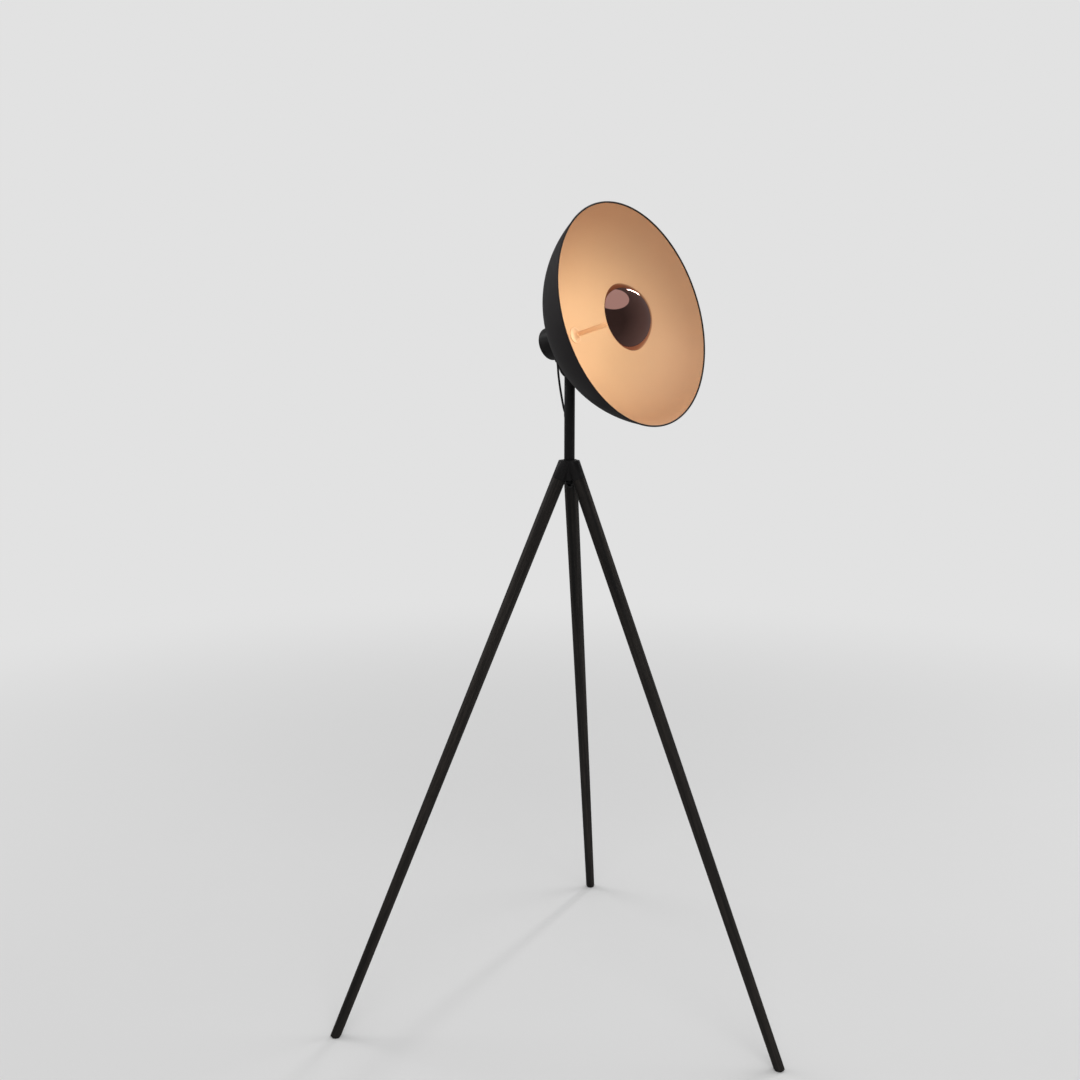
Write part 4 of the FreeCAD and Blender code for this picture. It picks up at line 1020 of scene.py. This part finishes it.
# Diffuser: an opal disc that lies on the bowl's lip. The ring of light sources above it glows
# through as soft spots, and its light goes back into the dish.
LIGHT_COUNT = 24
LIGHT_RING = 0.034
SPOT_SIZE = 0.007
SPOT_SHARE = 0.22
OPAL_THICKNESS = 0.0025
OPAL_GAP = 0.0003
OPAL_EDGE = 0.0003
GLOW = 6.6
opal_top = lip_level + OPAL_THICKNESS
opal_hole = STEM_RADIUS + OPAL_GAP
opal_radius = math.sqrt(bowl_inner**2 - (opal_top - bowl_middle) ** 2) - OPAL_GAP
opal_steps = np.linspace(opal_hole + OPAL_EDGE, opal_radius - OPAL_EDGE, num=40)
opal_profile = [
    (opal_hole, lip_level + OPAL_EDGE),
    *[(radius, lip_level) for radius in opal_steps],
    (opal_radius, lip_level + OPAL_EDGE),
    (opal_radius, opal_top - OPAL_EDGE),
    (opal_radius - OPAL_EDGE, opal_top),
    (opal_hole + OPAL_EDGE, opal_top),
    (opal_hole, opal_top - OPAL_EDGE),
]
opal_rows = rounds(opal_profile, sides=240)
light_turn = full_turn(LIGHT_COUNT)
light_places = LIGHT_RING * circle(light_turn)
spot_gap = np.linalg.norm(opal_rows[:, :, None, :2] - light_places, axis=-1).min(axis=-1)
spot_glow = 1 - SPOT_SHARE + SPOT_SHARE * np.exp(-((spot_gap / SPOT_SIZE) ** 2))
opal, opal_tree, opal_shader = finished(
    "opal", (0.93, 0.91, 0.87), roughness=0.38, spread=0.06,
    grain=700, patches=60, depth=0.00002, sway=0.01, Emission_Strength=GLOW,
)
glow = add_node(opal_tree, "Attribute", {"attribute_name": "glow"}).outputs["Fac"]
shine = blend_colours(opal_tree, glow, (0.05, 0.02, 0.008, 1), (0.91, 1.0, 0.88, 1))
fill(opal_tree, opal_shader, Emission_Color=shine)
fit(
    "opal_disc", opal_rows, [opal], "diffuser", "opal", "head", HEAD,
    wrap_rows=True, attributes={"glow": spot_glow},
)

# Lamp carrier and its nut: a turned aluminium plate that takes the heat of the board on its back,
# clamped on the stem between the bowl's boss and a steel nut.
CARRIER_RISE = 0.0048
CARRIER_THICKNESS = 0.003
CARRIER_CLEARANCE = 0.0032
CARRIER_HUB = 0.009
CARRIER_EDGE = 0.0004
PLATE_NUT_APOTHEM = 0.007
PLATE_NUT_HEIGHT = 0.0044
carrier_low = opal_top + CARRIER_RISE
carrier_high = carrier_low + CARRIER_THICKNESS
carrier_radius = math.sqrt(bowl_inner**2 - (carrier_high - bowl_middle) ** 2) - CARRIER_CLEARANCE
aluminium, *_ = finished(
    "carrier_aluminium", (0.725, 0.725, 0.735), roughness=0.34, spread=0.12,
    grain=900, patches=50, depth=0.00001, sway=0.03, Metallic=1.0,
)
carrier_rows = rounds(round_off([
    (STEM_GRIP, carrier_low),
    (carrier_radius, carrier_low, CARRIER_EDGE),
    (carrier_radius, carrier_high, CARRIER_EDGE),
    (CARRIER_HUB, carrier_high, 2 * CARRIER_EDGE),
    (CARRIER_HUB, boss_foot, CARRIER_EDGE),
    (STEM_GRIP, boss_foot),
]))
fit(
    "heat_plate", carrier_rows, [aluminium], "lamp_carrier", "carrier_aluminium", "head", HEAD,
    wrap_rows=True,
)
plate_nut_rows = nut_rows(STEM_GRIP, PLATE_NUT_APOTHEM, carrier_low - PLATE_NUT_HEIGHT, carrier_low)
fit("plate_nut", plate_nut_rows, [bright_steel], "carrier_nut", "hardware_steel", "head", HEAD)

# Light board: a white ring of coated aluminium under the carrier. Its light sources are small
# yellow packages, soldered in one ring.
BOARD_THICKNESS = 0.0016
BOARD_HOLE = 0.014
BOARD_MARGIN = 0.006
BOARD_EDGE = 0.0002
PACKAGE_HALF = (0.0014, 0.00175)
PACKAGE_HEIGHT = 0.0007
PACKAGE_STEPS = np.array([(0, 1), (0.8, 1), (0.95, 0.94), (1, 0.8), (1, 0), (0, 0)])
CORNERS = np.array([(-1, -1), (1, -1), (1, 1), (-1, 1)])
board_face, *_ = finished(
    "board_face", (0.85, 0.85, 0.83), roughness=0.4, spread=0.08,
    grain=900, patches=70, depth=0.00001, sway=0.024,
)
phosphor, *_ = finished(
    "phosphor", (0.9, 0.66, 0.16), roughness=0.45, spread=0.05,
    grain=1500, patches=200, depth=0.00001, sway=0.064,
)
board_low = carrier_low - BOARD_THICKNESS
board_rows = ring_rows(BOARD_HOLE, carrier_radius - BOARD_MARGIN, board_low, carrier_low, BOARD_EDGE)
fit("light_board", board_rows, [board_face], "led_board", "board_face", "head", HEAD)
package_spans = PACKAGE_STEPS[:, :1, None] * CORNERS * np.array(PACKAGE_HALF)
package_levels = board_low - PACKAGE_HEIGHT * PACKAGE_STEPS[:, 1:, None] + 0 * package_spans[..., :1]
package_rows = np.concatenate([package_spans, package_levels], axis=-1)
package_places = [
    HEAD @ Matrix.Rotation(turn, 4, "Z") @ Matrix.Translation((LIGHT_RING, 0, 0)) for turn in light_turn
]
package_grids = np.stack([carried(package_rows, place) for place in package_places])
packages = skin("light_sources", package_grids, [phosphor])
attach(packages, "head")

# Floor and backdrop: a pale floor that runs out into a plain backdrop of the same tone. What the
# camera and mirrors see of them is set apart from the light that they give.
BACKDROP = 0.76
WORLD_LIGHT = 0.5
FLOOR_TONE = 0.80
FLOOR_HALF = 30.0
FADE_START = 0.8
FADE_END = 4.0


def seen_directly(tree):
    """1 for rays that show a surface itself: the camera's, and those that metal or glass pass on."""
    path = add_node(tree, "LightPath").outputs
    mirrored = reckon(tree, path["Is Glossy Ray"], path["Is Transmission Ray"], "MAXIMUM")
    return reckon(tree, path["Is Camera Ray"], mirrored, "MAXIMUM")


floor_material, floor_tree, floor_shader = finished(
    "pale_floor", (FLOOR_TONE,) * 3, roughness=0.8, spread=0.05,
    grain=60, patches=1.5, depth=0.0002, sway=0.01, Specular_IOR_Level=0.0,
)
spot = add_node(floor_tree, "TexCoord").outputs["Object"]
distance = add_node(floor_tree, "VectorMath", {"operation": "LENGTH"}, _0=spot).outputs["Value"]
smooth = {"interpolation_type": "SMOOTHSTEP"}
away = add_node(floor_tree, "MapRange", smooth, Value=distance, From_Min=FADE_START, From_Max=FADE_END)
share = reckon(floor_tree, away.outputs[0], seen_directly(floor_tree), "MULTIPLY")
far_floor = add_node(floor_tree, "Emission", Color=(BACKDROP, BACKDROP, BACKDROP, 1), Strength=1.0)
floor_mix = add_node(
    floor_tree, "MixShader", _0=share, _1=floor_shader.outputs[0], _2=far_floor.outputs[0]
)
fill(floor_tree, floor_tree.nodes["Material Output"], Surface=floor_mix.outputs[0])
floor_mesh = bpy.data.meshes.new("floor")
floor_corners = [(x * FLOOR_HALF, y * FLOOR_HALF, 0) for x, y in CORNERS.tolist()]
floor_mesh.from_pydata(floor_corners, [], [(0, 1, 2, 3)])
floor_mesh.materials.append(floor_material)
floor = bpy.data.objects.new("floor", floor_mesh)
scene.collection.objects.link(floor)

world = bpy.data.worlds.new("studio")
world.use_nodes = True
scene.world = world
seen = seen_directly(world.node_tree)
tone = add_node(world.node_tree, "Mix", Factor=seen, _2=WORLD_LIGHT, _3=BACKDROP).outputs[0]
fill(world.node_tree, world.node_tree.nodes["Background"], Color=tone)

# A dark card stands all round the lamp and is open above, towards the key, as a studio sets one
# before polished metal. Only reflections see it. Its upper half is a ball's, with the opening
# leaned over; the lower is squashed flat just above the floor. It is paler on the right.
CARD_RADIUS = 3.0
CARD_LEVEL = 1.45
CARD_FOOT = 0.001
CARD_SQUASH = 1.3
CARD_OPENING = math.radians(36)
CARD_LEAN = Matrix.Rotation(math.radians(12), 3, "X") @ Matrix.Rotation(math.radians(-13), 3, "Y")
PAPER_TONES = {"From_Min": -1.0, "From_Max": CARD_RADIUS, "To_Min": 0.09, "To_Max": 0.26}
card_rise = np.linspace(-np.pi / 2, np.pi / 2 - CARD_OPENING, num=33)
card_rows = rounds(CARD_RADIUS * circle(card_rise)) @ np.array(CARD_LEAN).T
card_height = card_rows[..., 2]
card_drop = np.clip(card_height / CARD_RADIUS * CARD_SQUASH, -1, 0) * (CARD_LEVEL - CARD_FOOT)
card_rows[..., 2] = CARD_LEVEL + np.maximum(card_height, 0) + card_drop
card_paper, paper_tree, paper_shader = coating("dark_paper", (0.1, 0.1, 0.1), 0.9, Specular_IOR_Level=0.0)
card_spot = add_node(paper_tree, "TexCoord").outputs["Object"]
card_side = add_node(paper_tree, "SeparateXYZ", Vector=card_spot).outputs["X"]
paper_tone = add_node(paper_tree, "MapRange", Value=card_side, **PAPER_TONES).outputs[0]
fill(paper_tree, paper_shader, Base_Color=paper_tone)
card = skin("dark_card", card_rows, [card_paper])
for kind in ("camera", "diffuse", "shadow", "transmission"):
    setattr(card, f"visible_{kind}", False)

# Lights: a large key at the upper left, a weak fill from the right, a soft box behind, and a tall
# strip whose reflection lies on the small bowl. The first two are kept out of reflections.


def soft_box(name, place, aim, width, height, power, mirrored=True):
    """A soft box that points from its place at an aim, with its sides in metres and power in W."""
    light = bpy.data.lights.new(name, "AREA")
    light.shape = "RECTANGLE"
    light.size = width
    light.size_y = height
    light.energy = power
    lamp = bpy.data.objects.new(name, light)
    lamp.location = place
    lamp.rotation_euler = (Vector(aim) - Vector(place)).to_track_quat("-Z", "Y").to_euler()
    lamp.visible_glossy = mirrored
    scene.collection.objects.link(lamp)


soft_box("key", (-2.6, -2.8, 3.6), (0, 0, 1.0), 3.6, 3.6, 68, mirrored=False)
soft_box("fill", (2.8, -1.8, 2.2), (0, 0, 1.0), 1.8, 1.8, 22, mirrored=False)
soft_box("back", (-0.9, 2.6, 2.6), (0, 0, 1.2), 1.6, 2.0, 20)
soft_box("strip", (1.8, 0.10, 2.95), (0, -0.16, 1.47), 0.14, 0.9, 9)

scene.view_settings.view_transform = "Standard"
